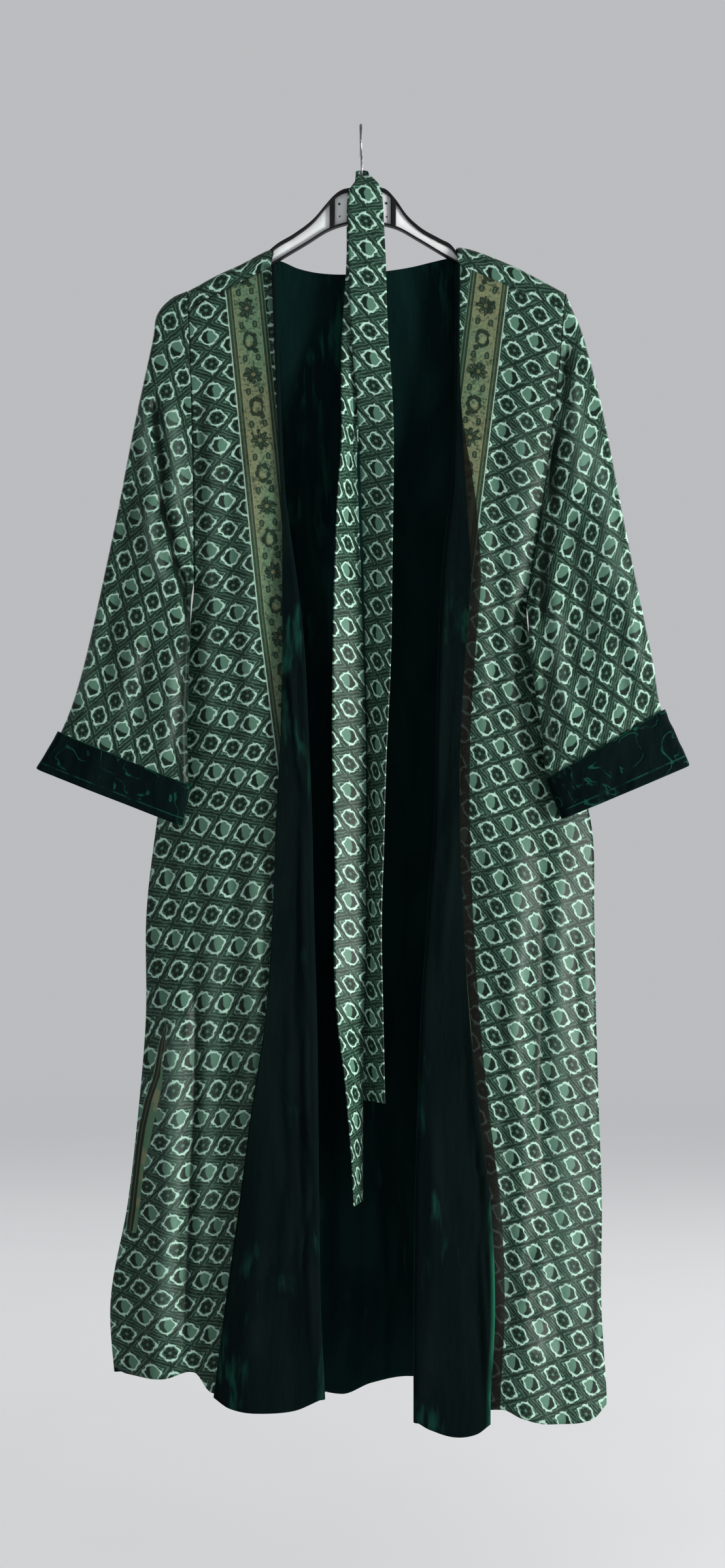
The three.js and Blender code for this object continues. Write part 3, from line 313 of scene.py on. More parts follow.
CREASES_FRONT_LEFT = [  # from (xa, za) to (xb, zb), half width, how far out (- to the front)
    dict(xa=197.7, za=-377.1, xb=175.1, zb=-680.7, half=9, out=2.2),
    dict(xa=175.1, za=-264.2, xb=158.2, zb=-645.4, half=14, out=-2.0),
    dict(xa=153.9, za=-292.4, xb=138.4, zb=-701.9, half=10, out=1.4),
    dict(xa=136.3, za=-405.4, xb=129.2, zb=-800.7, half=11, out=-1.5),
    dict(xa=213.9, za=-772.5, xb=223.1, zb=-1365.5, half=13, out=-3.2),
    dict(xa=193.5, za=-786.6, xb=190.6, zb=-1351.4, half=10, out=3.4),
    dict(xa=169.5, za=-737.2, xb=163.8, zb=-1069.0, half=13, out=-2.4),
    dict(xa=175.1, za=-1033.7, xb=201.9, zb=-1386.7, half=12, out=-3.0),
    dict(xa=150.4, za=-871.3, xb=160.3, zb=-1365.5, half=10, out=2.4),
    dict(xa=237.2, za=-821.9, xb=249.2, zb=-1351.4, half=9, out=1.8),
    dict(xa=231.6, za=-758.4, xb=240.8, zb=-970.2, half=7, out=-1.2),
    dict(xa=138.4, za=-751.3, xb=153.9, zb=-970.2, half=8, out=-1.2),
    dict(xa=153.9, za=-1287.8, xb=203.4, zb=-1302.0, half=6, out=1.6),
    dict(xa=157.5, za=-1323.1, xb=217.5, zb=-1335.8, half=6, out=-1.4),
    dict(xa=183.6, za=-1210.2, xb=169.5, zb=-1280.8, half=6, out=1.8),
]
CREASES_SLEEVE_RIGHT = [  # from (xa, za) to (xb, zb), half width, how far out (- to the front)
    dict(xa=-223.1, za=-292.4, xb=-216.0, zb=-405.4, half=6, out=4.0),
    dict(xa=-216.0, za=-403.3, xb=-204.7, zb=-463.3, half=5, out=4.6),
    dict(xa=-204.7, za=-463.3, xb=-183.5, zb=-536.0, half=5, out=4.6),
    dict(xa=-232.9, za=-264.2, xb=-230.1, zb=-405.4, half=9, out=-2.4),
    dict(xa=-230.1, za=-405.4, xb=-216.0, zb=-504.2, half=8, out=-2.6),
    dict(xa=-204.7, za=-292.4, xb=-200.5, zb=-433.6, half=9, out=-2.2),
    dict(xa=-244.9, za=-363.0, xb=-276.7, zb=-631.3, half=12, out=1.8),
    dict(xa=-262.6, za=-447.7, xb=-302.1, zb=-652.5, half=10, out=-1.6),
    dict(xa=-220.2, za=-525.4, xb=-244.2, zb=-680.7, half=9, out=1.8),
    dict(xa=-200.5, za=-560.7, xb=-211.8, zb=-701.9, half=6, out=-1.6),
    dict(xa=-232.9, za=-546.6, xb=-264.0, zb=-666.6, half=8, out=-1.4),
    dict(xa=-225.9, za=-235.9, xb=-235.8, zb=-320.7, half=7, out=1.6),
]
CREASES_SLEEVE_LEFT = [  # from (xa, za) to (xb, zb), half width, how far out (- to the front)
    dict(xa=225.9, za=-235.9, xb=218.9, zb=-320.7, half=6, out=2.6),
    dict(xa=216.1, za=-320.7, xb=204.8, zb=-426.6, half=6, out=3.2),
    dict(xa=204.8, za=-426.6, xb=194.9, zb=-546.6, half=6, out=3.4),
    dict(xa=235.1, za=-264.2, xb=231.6, zb=-405.4, half=10, out=-2.4),
    dict(xa=231.6, za=-405.4, xb=249.2, zb=-603.0, half=11, out=2.0),
    dict(xa=207.6, za=-504.2, xb=221.7, zb=-659.5, half=7, out=-1.8),
    dict(xa=249.2, za=-320.7, xb=274.0, zb=-525.4, half=11, out=-1.8),
    dict(xa=258.4, za=-504.2, xb=293.7, zb=-634.8, half=9, out=1.6),
    dict(xa=223.1, za=-525.4, xb=245.7, zb=-666.6, half=8, out=1.6),
    dict(xa=193.5, za=-581.9, xb=209.0, zb=-694.8, half=5, out=2.2),
    dict(xa=274.0, za=-447.7, xb=305.7, zb=-596.0, half=8, out=-1.4),
]
CREASES_MIDDLE = [  # from (xa, za) to (xb, zb), half width, how far out (- to the front)
    dict(xa=-57.9, za=-200.6, xb=-52.2, zb=-504.2, half=20, out=2.0),
    dict(xa=-86.1, za=-207.7, xb=-79.0, zb=-320.7, half=14, out=-1.6),
    dict(xa=62.2, za=-207.7, xb=56.5, zb=-574.8, half=22, out=1.8),
    dict(xa=84.8, za=-235.9, xb=81.9, zb=-504.2, half=12, out=-1.4),
    dict(xa=15.6, za=-1069.0, xb=11.3, zb=-1351.4, half=8, out=-3.0),
    dict(xa=31.1, za=-956.0, xb=25.5, zb=-1083.1, half=7, out=2.0),
    dict(xa=42.4, za=-927.8, xb=38.2, zb=-1069.0, half=6, out=-2.2),
    dict(xa=-2.8, za=-1174.9, xb=-8.4, zb=-1379.6, half=7, out=3.0),
    dict(xa=36.7, za=-1111.3, xb=33.9, zb=-1351.4, half=9, out=2.2),
    dict(xa=-22.6, za=-998.4, xb=-25.4, zb=-1365.5, half=8, out=-1.8),
    dict(xa=26.9, za=-970.2, xb=49.5, zb=-998.4, half=4, out=1.2),
    dict(xa=22.6, za=-1026.6, xb=45.2, zb=-1046.4, half=4, out=-1.2),
]
CREASES_LAPEL_RIGHT = [  # from (xa, za) to (xb, zb), half width, how far out (- to the front)
    dict(xa=-80.4, za=-581.9, xb=-60.0, zb=-728.7, half=3.4, out=-2.0),
    dict(xa=-70.6, za=-574.8, xb=-56.4, zb=-701.9, half=4, out=1.4),
    dict(xa=-64.9, za=-744.2, xb=-57.9, zb=-970.2, half=4, out=-1.5),
    dict(xa=-73.4, za=-786.6, xb=-70.6, zb=-998.4, half=6, out=1.2),
    dict(xa=-60.7, za=-970.2, xb=-55.0, zb=-1125.5, half=3.4, out=-1.8),
    dict(xa=-66.3, za=-1069.0, xb=-63.5, zb=-1160.8, half=3, out=1.4),
    dict(xa=-57.9, za=-1125.5, xb=-52.2, zb=-1337.3, half=3.4, out=-1.8),
    dict(xa=-68.4, za=-1174.9, xb=-55.0, zb=-1210.2, half=3, out=1.0),
    dict(xa=-86.1, za=-1033.7, xb=-103.7, zb=-1365.5, half=10, out=1.4),
    dict(xa=-107.3, za=-1125.5, xb=-127.0, zb=-1365.5, half=12, out=-1.2),
    dict(xa=-74.8, za=-1160.8, xb=-70.6, zb=-1351.4, half=5, out=1.4),
    dict(xa=-79.0, za=-927.8, xb=-74.8, zb=-1111.3, half=5, out=-1.0),
    dict(xa=-52.2, za=-1153.7, xb=-63.5, zb=-1245.5, half=3, out=1.4),
]
CREASES_LAPEL_LEFT = [  # from (xa, za) to (xb, zb), half width, how far out (- to the front)
    dict(xa=97.5, za=-320.7, xb=89.0, zb=-461.8, half=4, out=-1.2),
    dict(xa=94.6, za=-560.7, xb=87.6, zb=-772.5, half=6, out=1.2),
    dict(xa=97.5, za=-744.2, xb=87.6, zb=-927.8, half=6, out=-1.2),
    dict(xa=115.8, za=-970.2, xb=134.2, zb=-1174.9, half=5, out=-1.5),
    dict(xa=122.2, za=-1069.0, xb=134.2, zb=-1273.7, half=3.4, out=1.4),
    dict(xa=129.2, za=-1181.9, xb=135.6, zb=-1351.4, half=3, out=-1.6),
    dict(xa=124.3, za=-1210.2, xb=129.9, zb=-1386.7, half=3, out=1.6),
    dict(xa=104.5, za=-927.8, xb=108.0, zb=-1210.2, half=12, out=1.2),
    dict(xa=76.3, za=-1033.7, xb=69.2, zb=-1386.7, half=9, out=-1.4),
    dict(xa=134.2, za=-1125.5, xb=125.7, zb=-1160.8, half=3, out=1.2),
]
SADDLE = [  # behind the wire of the hook: x, y, z, width, tilt
    dict(x=-8.5, y=-7.5, z=-68, width=20, turn=0, tilt=0),
    dict(x=-10.5, y=-3.5, z=-59, width=16, turn=0, tilt=15),
    dict(x=-9, y=1, z=-51.5, width=14, turn=0, tilt=40),
    dict(x=-5, y=4.6, z=-47, width=14, turn=0, tilt=70),
    dict(x=1.2, y=5.6, z=-45.8, width=14, turn=0, tilt=90),
    dict(x=7.4, y=4.6, z=-47, width=14, turn=0, tilt=110),
    dict(x=11.4, y=1, z=-51.5, width=14, turn=0, tilt=140),
    dict(x=13, y=-4.5, z=-59, width=16, turn=0, tilt=165),
    dict(x=12, y=-9.5, z=-68, width=20, turn=0, tilt=180),
]
HEM_RIGHT = [dict(s=s, z=z) for s, z in ((0, -1351), (0.06, -1357), (0.25, -1358), (0.4, -1352), (0.47, -1372), (0.75, -1376), (1, -1377))]
HEM_LAPEL_RIGHT = [dict(s=s, z=z) for s, z in ((0, -1377), (0.25, -1389), (0.6, -1391), (0.85, -1386), (1, -1375))]
HEM_LEFT = [dict(s=s, z=z) for s, z in ((0, -1392), (0.08, -1407), (0.3, -1408), (0.46, -1398), (0.56, -1389), (1, -1400))]
HEM_LAPEL_LEFT = [dict(s=s, z=z) for s, z in ((0, -1402), (0.15, -1409), (0.5, -1417), (0.8, -1414), (1, -1403))]
HEM_BACK = [dict(s=s, z=z) for s, z in ((0, -1358), (0.2, -1366), (0.35, -1376), (0.46, -1390), (0.52, -1378), (0.61, -1372), (0.78, -1382), (0.92, -1394), (1, -1391))]
FOLDS_RIGHT = [  # the large hanging folds
    dict(xa=-150, za=-820, xb=-180, zb=-1420, half=22, out=6),
    dict(xa=-205, za=-900, xb=-225, zb=-1420, half=18, out=-7),
    dict(xa=-100, za=-560, xb=-120, zb=-1420, half=26, out=-4),
]
FOLDS_LEFT = [
    dict(xa=150, za=-700, xb=175, zb=-1440, half=24, out=-6),
    dict(xa=205, za=-820, xb=215, zb=-1440, half=20, out=6),
]
FOLDS_BACK = [
    dict(xa=-140, za=-380, xb=-185, zb=-1420, half=30, out=9),
    dict(xa=-50, za=-300, xb=-80, zb=-1420, half=34, out=-8),
    dict(xa=40, za=-320, xb=45, zb=-1420, half=30, out=8),
    dict(xa=130, za=-380, xb=165, zb=-1420, half=34, out=-7),
]
# seen only from behind: like the front's, as uneven
CREASES_BACK = [
    dict(xa=-150, za=-260, xb=-172, zb=-760, half=12, out=2.2), dict(xa=-118, za=-240, xb=-126, zb=-620, half=16, out=-1.8),
    dict(xa=-80, za=-300, xb=-100, zb=-980, half=13, out=1.8), dict(xa=-20, za=-250, xb=-12, zb=-760, half=18, out=-2.0),
    dict(xa=30, za=-330, xb=22, zb=-900, half=12, out=1.6), dict(xa=74, za=-240, xb=90, zb=-700, half=15, out=-1.6),
    dict(xa=112, za=-280, xb=124, zb=-1060, half=12, out=2.0), dict(xa=160, za=-300, xb=176, zb=-820, half=13, out=-2.0),
    dict(xa=-196, za=-700, xb=-220, zb=-1360, half=10, out=2.6), dict(xa=-150, za=-900, xb=-168, zb=-1380, half=9, out=-2.2),
    dict(xa=-34, za=-860, xb=-40, zb=-1380, half=10, out=2.0), dict(xa=70, za=-900, xb=84, zb=-1380, half=11, out=2.4),
    dict(xa=196, za=-760, xb=224, zb=-1380, half=11, out=2.4), dict(xa=140, za=-1000, xb=150, zb=-1390, half=8, out=-1.6),
    dict(xa=-60, za=-420, xb=20, zb=-470, half=9, out=0.9), dict(xa=-30, za=-520, xb=70, zb=-560, half=8, out=-0.8),
]

# ------------------------------------------------------------------ reading the tables
GAP = 0.3
SHOULDER_BEND = 9.5
SHOULDER_SEAM = 20.0
LAPEL_BEND = 4.2
CUFF_DEPTH = 64.0
SIDE_HALF = 2.6
SEAM_ENDS = {"right": (-98.0, -188.0), "left": (107.0, 221.0)}


def lerp(a, b, t):
    return a + (b - a) * t


def ease(a, b, t):
    f = np.clip((t - a) / (b - a), 0.0, 1.0)
    return f * f * (3 - 2 * f)


def at(rows, key, t, by="z"):
    xs = np.array([r[by] for r in rows], float)
    ys = np.array([r[key] for r in rows], float)
    t = np.asarray(t, float)
    if xs[-1] < xs[0]:
        xs, t = -xs, -t
    slope = np.empty(len(xs))
    slope[1:-1] = (ys[2:] - ys[:-2]) / (xs[2:] - xs[:-2])
    slope[0] = (ys[1] - ys[0]) / (xs[1] - xs[0])
    slope[-1] = (ys[-1] - ys[-2]) / (xs[-1] - xs[-2])
    i = np.clip(np.searchsorted(xs, t, side="right") - 1, 0, len(xs) - 2)
    h = xs[i + 1] - xs[i]
    f = np.clip((t - xs[i]) / h, 0.0, 1.0)
    f2, f3 = f * f, f * f * f
    return (2 * f3 - 3 * f2 + 1) * ys[i] + (f3 - 2 * f2 + f) * slope[i] * h + (-2 * f3 + 3 * f2) * ys[i + 1] + (f3 - f2) * slope[i + 1] * h


def folds_at(folds, x, z):
    total = np.zeros(np.broadcast(x, z).shape)
    for f in folds:
        t = (z - f["za"]) / (f["zb"] - f["za"])
        d = (x - lerp(f["xa"], f["xb"], t)) / f["half"]
        total += np.where(t > 0, f["out"] * ease(0, 0.3, t) * np.exp(-d * d), 0.0)
    return total


def creases_at(rows, x, z, ends=0.22):
    """soft troughs and ridges, each along its own line, fading at both ends"""
    total = np.zeros(np.broadcast(x, z).shape)
    for c in rows:
        ax, az, bx, bz = c["xa"], c["za"], c["xb"], c["zb"]
        length = math.hypot(bx - ax, bz - az)
        ux, uz = (bx - ax) / length, (bz - az) / length
        along = ((x - ax) * ux + (z - az) * uz) / length
        wander = 0.35 * c["half"] * np.sin(along * 5.3 + ax * 0.07)
        across = (x - ax) * uz - (z - az) * ux + wander
        fade = ease(-0.06, ends, along) * (1 - ease(1 - ends, 1.06, along))
        total += c["out"] * fade * np.exp(-((across / c["half"]) ** 2))
    return total


def hash_wave(x, z, seed, scale):
    """a slow uneven swell of the cloth, the same on every run"""
    r = np.random.RandomState(seed)
    total = np.zeros(np.broadcast(x, z).shape)
    for k in range(9):
        fx = r.uniform(0.5, 1.9) / scale
        fz = r.uniform(0.12, 0.6) / scale
        total += np.sin(x * fx * (1 if k % 2 else -1) + z * fz + r.uniform(0, 6.28) + 0.6 * np.sin(z * fz * 1.7 + k)) / 9
    return total


def half_depth(c, a, edge, swell):
    e = np.minimum(a * (1 - np.abs(c)), edge) / edge
    return edge * np.sqrt(np.maximum(0.0, 1 - (1 - e) ** 2)) + swell * (1 - c * c)


class Armhole:
    def __init__(self, sleeve):
        self.r = sleeve[0]
        self.under = self.r["zUnder"]
        self.half = math.hypot(self.r["xTop"] - self.r["xUnder"], self.r["zTop"] - self.r["zUnder"]) / 2

    def c(self, z):
        return 1 - 2 * (self.r["zTop"] - z) / (self.r["zTop"] - self.r["zUnder"])

    def x(self, z):
        c = np.clip(self.c(z), -1, 1)
        return lerp(self.r["xTop"], self.r["xUnder"], (1 - c) / 2) + self.r["bow"] * (1 - c * c)

    def depth(self, z):
        c = np.clip(self.c(z), -1, 1)
        return np.where(z < self.under, 0.0, half_depth(c, self.half, self.r["edge"], self.r["swell"]))


def draw_in(z, hole):
    return GAP + 0.5 * np.exp(-(((z - hole.under + 8) / 22) ** 2))


def fold_top(x):
    return at(SHOULDER, "z", x, "x") - 1.25


def seam_line(x):
    a0, b0 = SEAM_ENDS["right"]
    a1, b1 = SEAM_ENDS["left"]
    a = np.where(x < 0, a0, a1)
    b = np.where(x < 0, b0, b1)
    fa = np.where(x < 0, fold_top(np.array(a0)), fold_top(np.array(a1)))
    fb = np.where(x < 0, fold_top(np.array(b0)), fold_top(np.array(b1)))
    return lerp(fa, fb, (x - a) / (b - a)) - SHOULDER_SEAM


def seam_y(z):
    f = np.clip((z + 500.0) / -800.0, 0.0, 1.0)
    return 4 * f * f * (3 - 2 * f)


# ------------------------------------------------------------------ the surfaces, as in the garment's cut
def front(rows, folds, hem, hem_lapel, sleeve, creases, lapel_creases, seed, u, v):
    hole = Armhole(sleeve)
    way = 1.0 if rows[0]["fold"] > rows[0]["side"] else -1.0

    def side(z):
        blend = ease(hole.under - 30, hole.under, z)
        return np.where(z > hole.under, hole.x(z), lerp(at(rows, "side", z), hole.x(z), blend)) + way * (GAP + draw_in(z, hole))

    def bend(z):
        return np.minimum(LAPEL_BEND, 2.3 + 0.12 * np.maximum(0, np.abs(at(rows, "edge", z) - at(rows, "fold", z)) - 4))

    s = np.minimum(1.0, u)
    x = lerp(rows[0]["side"], rows[0]["fold"], s)
    top = np.zeros_like(x)
    for _ in range(6):
        top = seam_line(x) - GAP
        x = lerp(side(top), at(rows, "fold", top) - way * bend(top), s)
    foot = np.where(u <= 1, at(hem, "z", u, "s"), at(hem_lapel, "z", np.maximum(0, u - 2), "s"))
    z = lerp(top, foot, v)
    r = bend(z)
    turn = at(rows, "fold", z)
    a = side(z)

    def depth(xx):
        t = np.clip((xx - a) / (turn - a), 0, 1)
        y0 = seam_y(z) - np.maximum(SIDE_HALF, hole.depth(z))
        fall = 1 - (1 - t) ** 4
        base = lerp(y0, lerp(at(rows, "yMid", z), at(rows, "yFold", z), t), fall) + folds_at(folds, xx, z) * ease(0, 0.18, t)
        calm = ease(0, 0.16, t) * ease(-130, -260, z)
        hemward = 1 + 0.5 * ease(-1000, -1380, z)
        return base + calm * (1.6 * creases_at(creases, xx, z) + 4.4 * hemward * hash_wave(xx, z, seed, 34.0) + 1.1 * hash_wave(xx, z, seed + 5, 11.0))

    lx = turn - way * r
    panel_x = lerp(a, lx, np.minimum(u, 1))
    g = (0.5 - (np.clip(u, 1, 2) - 1)) * np.pi
    fold_x = lx + way * r * np.cos(g)
    lapel_x = lerp(lx, at(rows, "edge", z), np.clip(u - 2, 0, 1))
    X = np.where(u <= 1, panel_x, np.where(u <= 2, fold_x, lapel_x))
    y = depth(np.where(u <= 2, np.where(u <= 1, panel_x, lx), lapel_x))
    lapel = np.clip(u - 2, 0, 1)
    lift = 1.5 * creases_at(lapel_creases, X, z) * ease(0.0, 0.10, u - 1.4) * ease(-150, -260, z)
    flare = 2.6 * hash_wave(X, z, seed + 9, 16.0) * ease(-420, -620, z) * ease(0, 0.3, lapel)
    # the turned-back part never presses through the silk below it
    lift = np.where(u > 1.4, np.minimum(lift + flare, 1.1), 0.0)
    Y = np.where(u <= 1, y, np.where(u <= 2, y - r + r * np.sin(g), y - 2 * r)) + lift * ease(1.4, 2.1, u)
    flat = np.where(u <= 1, panel_x, np.where(u <= 2, lx + way * r * np.pi * (np.clip(u, 1, 2) - 1), lx + way * (r * np.pi + np.abs(lapel_x - lx))))
    return np.stack([X, Y, z], -1), flat


def back(u, v):
    R = SHOULDER_BEND
    arc = R * math.pi / 2
    hole_r, hole_l = Armhole(SLEEVE_RIGHT), Armhole(SLEEVE_LEFT)

    def right(z):
        return np.where(z > hole_r.under, hole_r.x(z), lerp(at(BACK, "right", z), hole_r.x(z), ease(hole_r.under - 30, hole_r.under, z))) + GAP + draw_in(z, hole_r)

    def left(z):
        return np.where(z > hole_l.under, hole_l.x(z), lerp(at(BACK, "left", z), hole_l.x(z), ease(hole_l.under - 30, hole_l.under, z))) - GAP - draw_in(z, hole_l)

    start_z = np.array(-180.0)
    x = lerp(right(start_z), left(start_z), u)
    top = np.zeros_like(x)
    for _ in range(6):
        top = fold_top(x)
        x = lerp(right(top - 10), left(top - 10), u)
    edge = seam_line(x)
    for _ in range(3):
        edge = seam_line(lerp(right(edge), left(edge), u))
    seam = -(arc + (top - R - edge))
    neck = np.minimum(ease(-98.5, -91.5, x), 1 - ease(100.5, 107.5, x))
    start = lerp(seam, arc + (top - R - at(NECK, "z", x, "x")), neck)
    turn = np.maximum(arc + 3, start + 8)
    foot = arc + (top - R - at(HEM_BACK, "z", u, "s"))
    q = np.where(v < 0.25, lerp(start, turn, v / 0.25), lerp(turn, foot, (v - 0.25) / 0.75))
    z = np.where(np.abs(q) <= arc, top - R * (1 - np.cos(q / R)), top - R - (np.abs(q) - arc))
    a, b = right(z), left(z)
    xx = np.where(np.abs(q) <= arc, x, lerp(a, b, u))
    s = (xx - a) / (b - a)
    y0 = seam_y(z) + np.maximum(SIDE_HALF, lerp(hole_r.depth(z), hole_l.depth(z), ease(0.3, 0.7, s)))
    inner = 1 - np.abs(2 * s - 1) ** 6
    soft = 1.4 * (creases_at(CREASES_MIDDLE, xx, z) + creases_at(CREASES_BACK, xx, z)) + 5.0 * hash_wave(xx, z, 31, 30.0) + 1.3 * hash_wave(xx, z, 37, 11.0)
    # only as much swing to the front as the room behind the fronts allows
    soft = np.where(soft < 0, 3.2 * np.tanh(soft / 3.2), soft)
    swing = lerp(y0, at(BACK, "yMid", z), 1 - np.abs(2 * s - 1) ** 4) + folds_at(FOLDS_BACK, xx, z) * inner + soft * inner * ease(-170, -300, z)
    y = np.where(np.abs(q) <= arc, R * np.sin(q / R), np.where(q < 0, -R, lerp(R, swing, ease(0, 70, q - arc))))
    return np.stack([xx, y, z], -1), q


def sleeve_point(rows, w, p, creases=(), seed=3, gentle=1.0):
    n = len(rows) - 1
    i = np.clip(np.floor(w).astype(int), 0, n - 1)
    f = w - i

    def get(key):
        k = np.array([r[key] for r in rows], float)
        a, b = k[i], k[i + 1]
        before = k[np.maximum(0, i - 1)]
        after = k[np.minimum(n, i + 2)]
        m0 = np.where(i > 0, (b - before) / 2, b - a)
        m1 = (after - a) / 2
        f2, f3 = f * f, f * f * f
        curve = (2 * f3 - 3 * f2 + 1) * a + (f3 - 2 * f2 + f) * m0 + (-2 * f3 + 3 * f2) * b + (f3 - f2) * m1
        return np.where((i >= n - 1) | (f < 0), lerp(a, b, f), curve)

    g = p * 2 * np.pi
    c = np.cos(g)
    to_front = np.where(np.sin(g) >= 0, -1.0, 1.0)
    xt, zt, xu, zu = get("xTop"), get("zTop"), get("xUnder"), get("zUnder")
    half = np.hypot(xt - xu, zt - zu) / 2
    s = (1 - c) / 2
    bow, swell = get("bow"), get("swell")
    X = lerp(xt, xu, s) + bow * (1 - c * c)
    Z = lerp(zt, zu, s)
    d = half_depth(c, half, get("edge"), swell)
    rim = ease(0.0, 0.28, (1 - np.abs(c))) * ease(0.0, 1.2, w)
    soft = 1.9 * creases_at(creases, X, Z) + 3.6 * hash_wave(X, Z, seed, 26.0) + 1.1 * hash_wave(X, Z, seed + 3, 10.0)
    behind = creases_at(creases, X * 1.04 + 6, Z + 22) * -1.4 + 4.2 * hash_wave(X, Z, seed + 17, 28.0)
    soft = np.where(to_front < 0, soft, behind)
    limit = 0.55 * (half_depth(c, half, get("edge"), swell) + 0.5)
    # a trough goes no deeper than the room inside the sleeve
    soft = np.where(to_front < 0, np.minimum(soft, limit), np.maximum(soft, -limit)) * rim * gentle
    Y = lerp(get("yTop"), get("yUnder"), s) + to_front * d + soft
    return np.stack([X, Y, Z], -1)


# ------------------------------------------------------------------ meshes
def normals(P, wrap=False):
    def diff(axis):
        if wrap and axis == 1:
            return np.roll(P, -1, 1) - np.roll(P, 1, 1)
        d = np.empty_like(P)
        if axis == 0:
            d[1:-1] = P[2:] - P[:-2]
            d[0] = P[1] - P[0]
            d[-1] = P[-1] - P[-2]
        else:
            d[:, 1:-1] = P[:, 2:] - P[:, :-2]
            d[:, 0] = P[:, 1] - P[:, 0]
            d[:, -1] = P[:, -1] - P[:, -2]
        return d
    n = np.cross(diff(1), diff(0))
    return n / np.maximum(np.linalg.norm(n, axis=-1, keepdims=True), 1e-9)


def make_object(name, co, quads, flat_faces, uvs, material):
    mesh = bpy.data.meshes.new(name)
    mesh.vertices.add(len(co))
    mesh.vertices.foreach_set("co", (co * 0.001).astype(np.float32).ravel())
    quads = np.asarray(quads, np.int32)
    mesh.loops.add(quads.size)
    mesh.loops.foreach_set("vertex_index", quads.ravel())
    mesh.polygons.add(len(quads))
    mesh.polygons.foreach_set("loop_start", np.arange(0, quads.size, 4, dtype=np.int32))
    mesh.polygons.foreach_set("loop_total", np.full(len(quads), 4, np.int32))
    smooth = np.ones(len(quads), bool)
    if flat_faces:
        smooth[-flat_faces:] = False
    mesh.update(calc_edges=True)
    mesh.polygons.foreach_set("use_smooth", smooth)
    for layer, values in uvs.items():
        uv = mesh.uv_layers.new(name=layer)
        uv.data.foreach_set("uv", values[quads.ravel()].astype(np.float32).ravel())
    mesh.materials.append(material)
    mesh.validate()
    o = bpy.data.objects.new(name, mesh)
    scene.collection.objects.link(o)
    return o


def shell(name, P, outward, near, far, uvs, material):
    """a thin closed wall over a grid of points, between two distances along its outward normal"""
    near, far = min(near, far), max(near, far)
    rows, cols = P.shape[:2]
    N = normals(P)
    mid = N[rows // 2, outward[0]]
    sign = 1.0 if np.dot(mid, outward[1]) > 0 else -1.0
    N = N * sign
    A, B = P + N * near, P + N * far
    idx = np.arange(rows * cols).reshape(rows, cols)
    q = np.stack([idx[:-1, :-1], idx[:-1, 1:], idx[1:, 1:], idx[1:, :-1]], -1).reshape(-1, 4)
    n = rows * cols
    top = q + n if sign > 0 else q[:, ::-1] + n
    bottom = q[:, ::-1] if sign > 0 else q
    loop = np.concatenate([idx[0, :], idx[1:, -1], idx[-1, -2::-1], idx[-2:0:-1, 0]])
    nxt = np.roll(loop, -1)
    rim = np.stack([loop, nxt, nxt + n, loop + n], -1)
    if sign < 0:
        rim = rim[:, ::-1]
    quads = np.concatenate([top, bottom, rim])
    co = np.concatenate([A.reshape(-1, 3), B.reshape(-1, 3)])
    layers = {k: np.concatenate([w.reshape(-1, 2)] * 2) for k, w in uvs.items()}
    return make_object(name, co, quads, len(rim), layers, material)

# ------------------------------------------------------------------ materials
class E:
    """a value in a node tree, with ordinary arithmetic"""
    tree = None

    def __init__(self, socket):
        self.socket = socket

    @staticmethod
    def make(operation, *args, clamp=False):
        node = E.tree.nodes.new("ShaderNodeMath")
        node.operation = operation
        node.use_clamp = clamp
        for k, a in enumerate(args):
            if isinstance(a, E):
                E.tree.links.new(a.socket, node.inputs[k])
            else:
                node.inputs[k].default_value = float(a)
        return E(node.outputs[0])

    def __add__(self, o): return E.make("ADD", self, o)
    __radd__ = __add__
    def __sub__(self, o): return E.make("SUBTRACT", self, o)
    def __rsub__(self, o): return E.make("SUBTRACT", o, self)
    def __mul__(self, o): return E.make("MULTIPLY", self, o)
    __rmul__ = __mul__
    def __truediv__(self, o): return E.make("DIVIDE", self, o)
    def abs(self): return E.make("ABSOLUTE", self)
    def round(self): return E.make("ROUND", self)
    def pow(self, p): return E.make("POWER", self, p)
    def sin(self): return E.make("SINE", self)
    def cos(self): return E.make("COSINE", self)
    def sqrt(self): return E.make("SQRT", self)
    def min(self, o): return E.make("MINIMUM", self, o)
    def max(self, o): return E.make("MAXIMUM", self, o)
    def sat(self): return E.make("ADD", self, 0.0, clamp=True)


def step(x, a, b):
    """0 below a, 1 above b, smooth between; the other way when a is the larger"""
    node = E.tree.nodes.new("ShaderNodeMapRange")
    node.interpolation_type = "SMOOTHSTEP"
    node.clamp = True
    E.tree.links.new(x.socket, node.inputs[0])
    lo, hi = min(a, b), max(a, b)
    node.inputs[1].default_value = lo
    node.inputs[2].default_value = hi
    node.inputs[3].default_value = 0.0 if a < b else 1.0
    node.inputs[4].default_value = 1.0 if a < b else 0.0
    return E(node.outputs[0])


def mix(a, b, k):
    node = E.tree.nodes.new("ShaderNodeMix")
    node.data_type = "RGBA"
    fac, sa, sb = node.inputs[0], node.inputs[6], node.inputs[7]
    if isinstance(k, E):
        E.tree.links.new(k.socket, fac)
    else:
        fac.default_value = float(k)
    for sock, val in ((sa, a), (sb, b)):
        if isinstance(val, E):
            E.tree.links.new(val.socket, sock)
        else:
            sock.default_value = val
    return E(node.outputs[2])


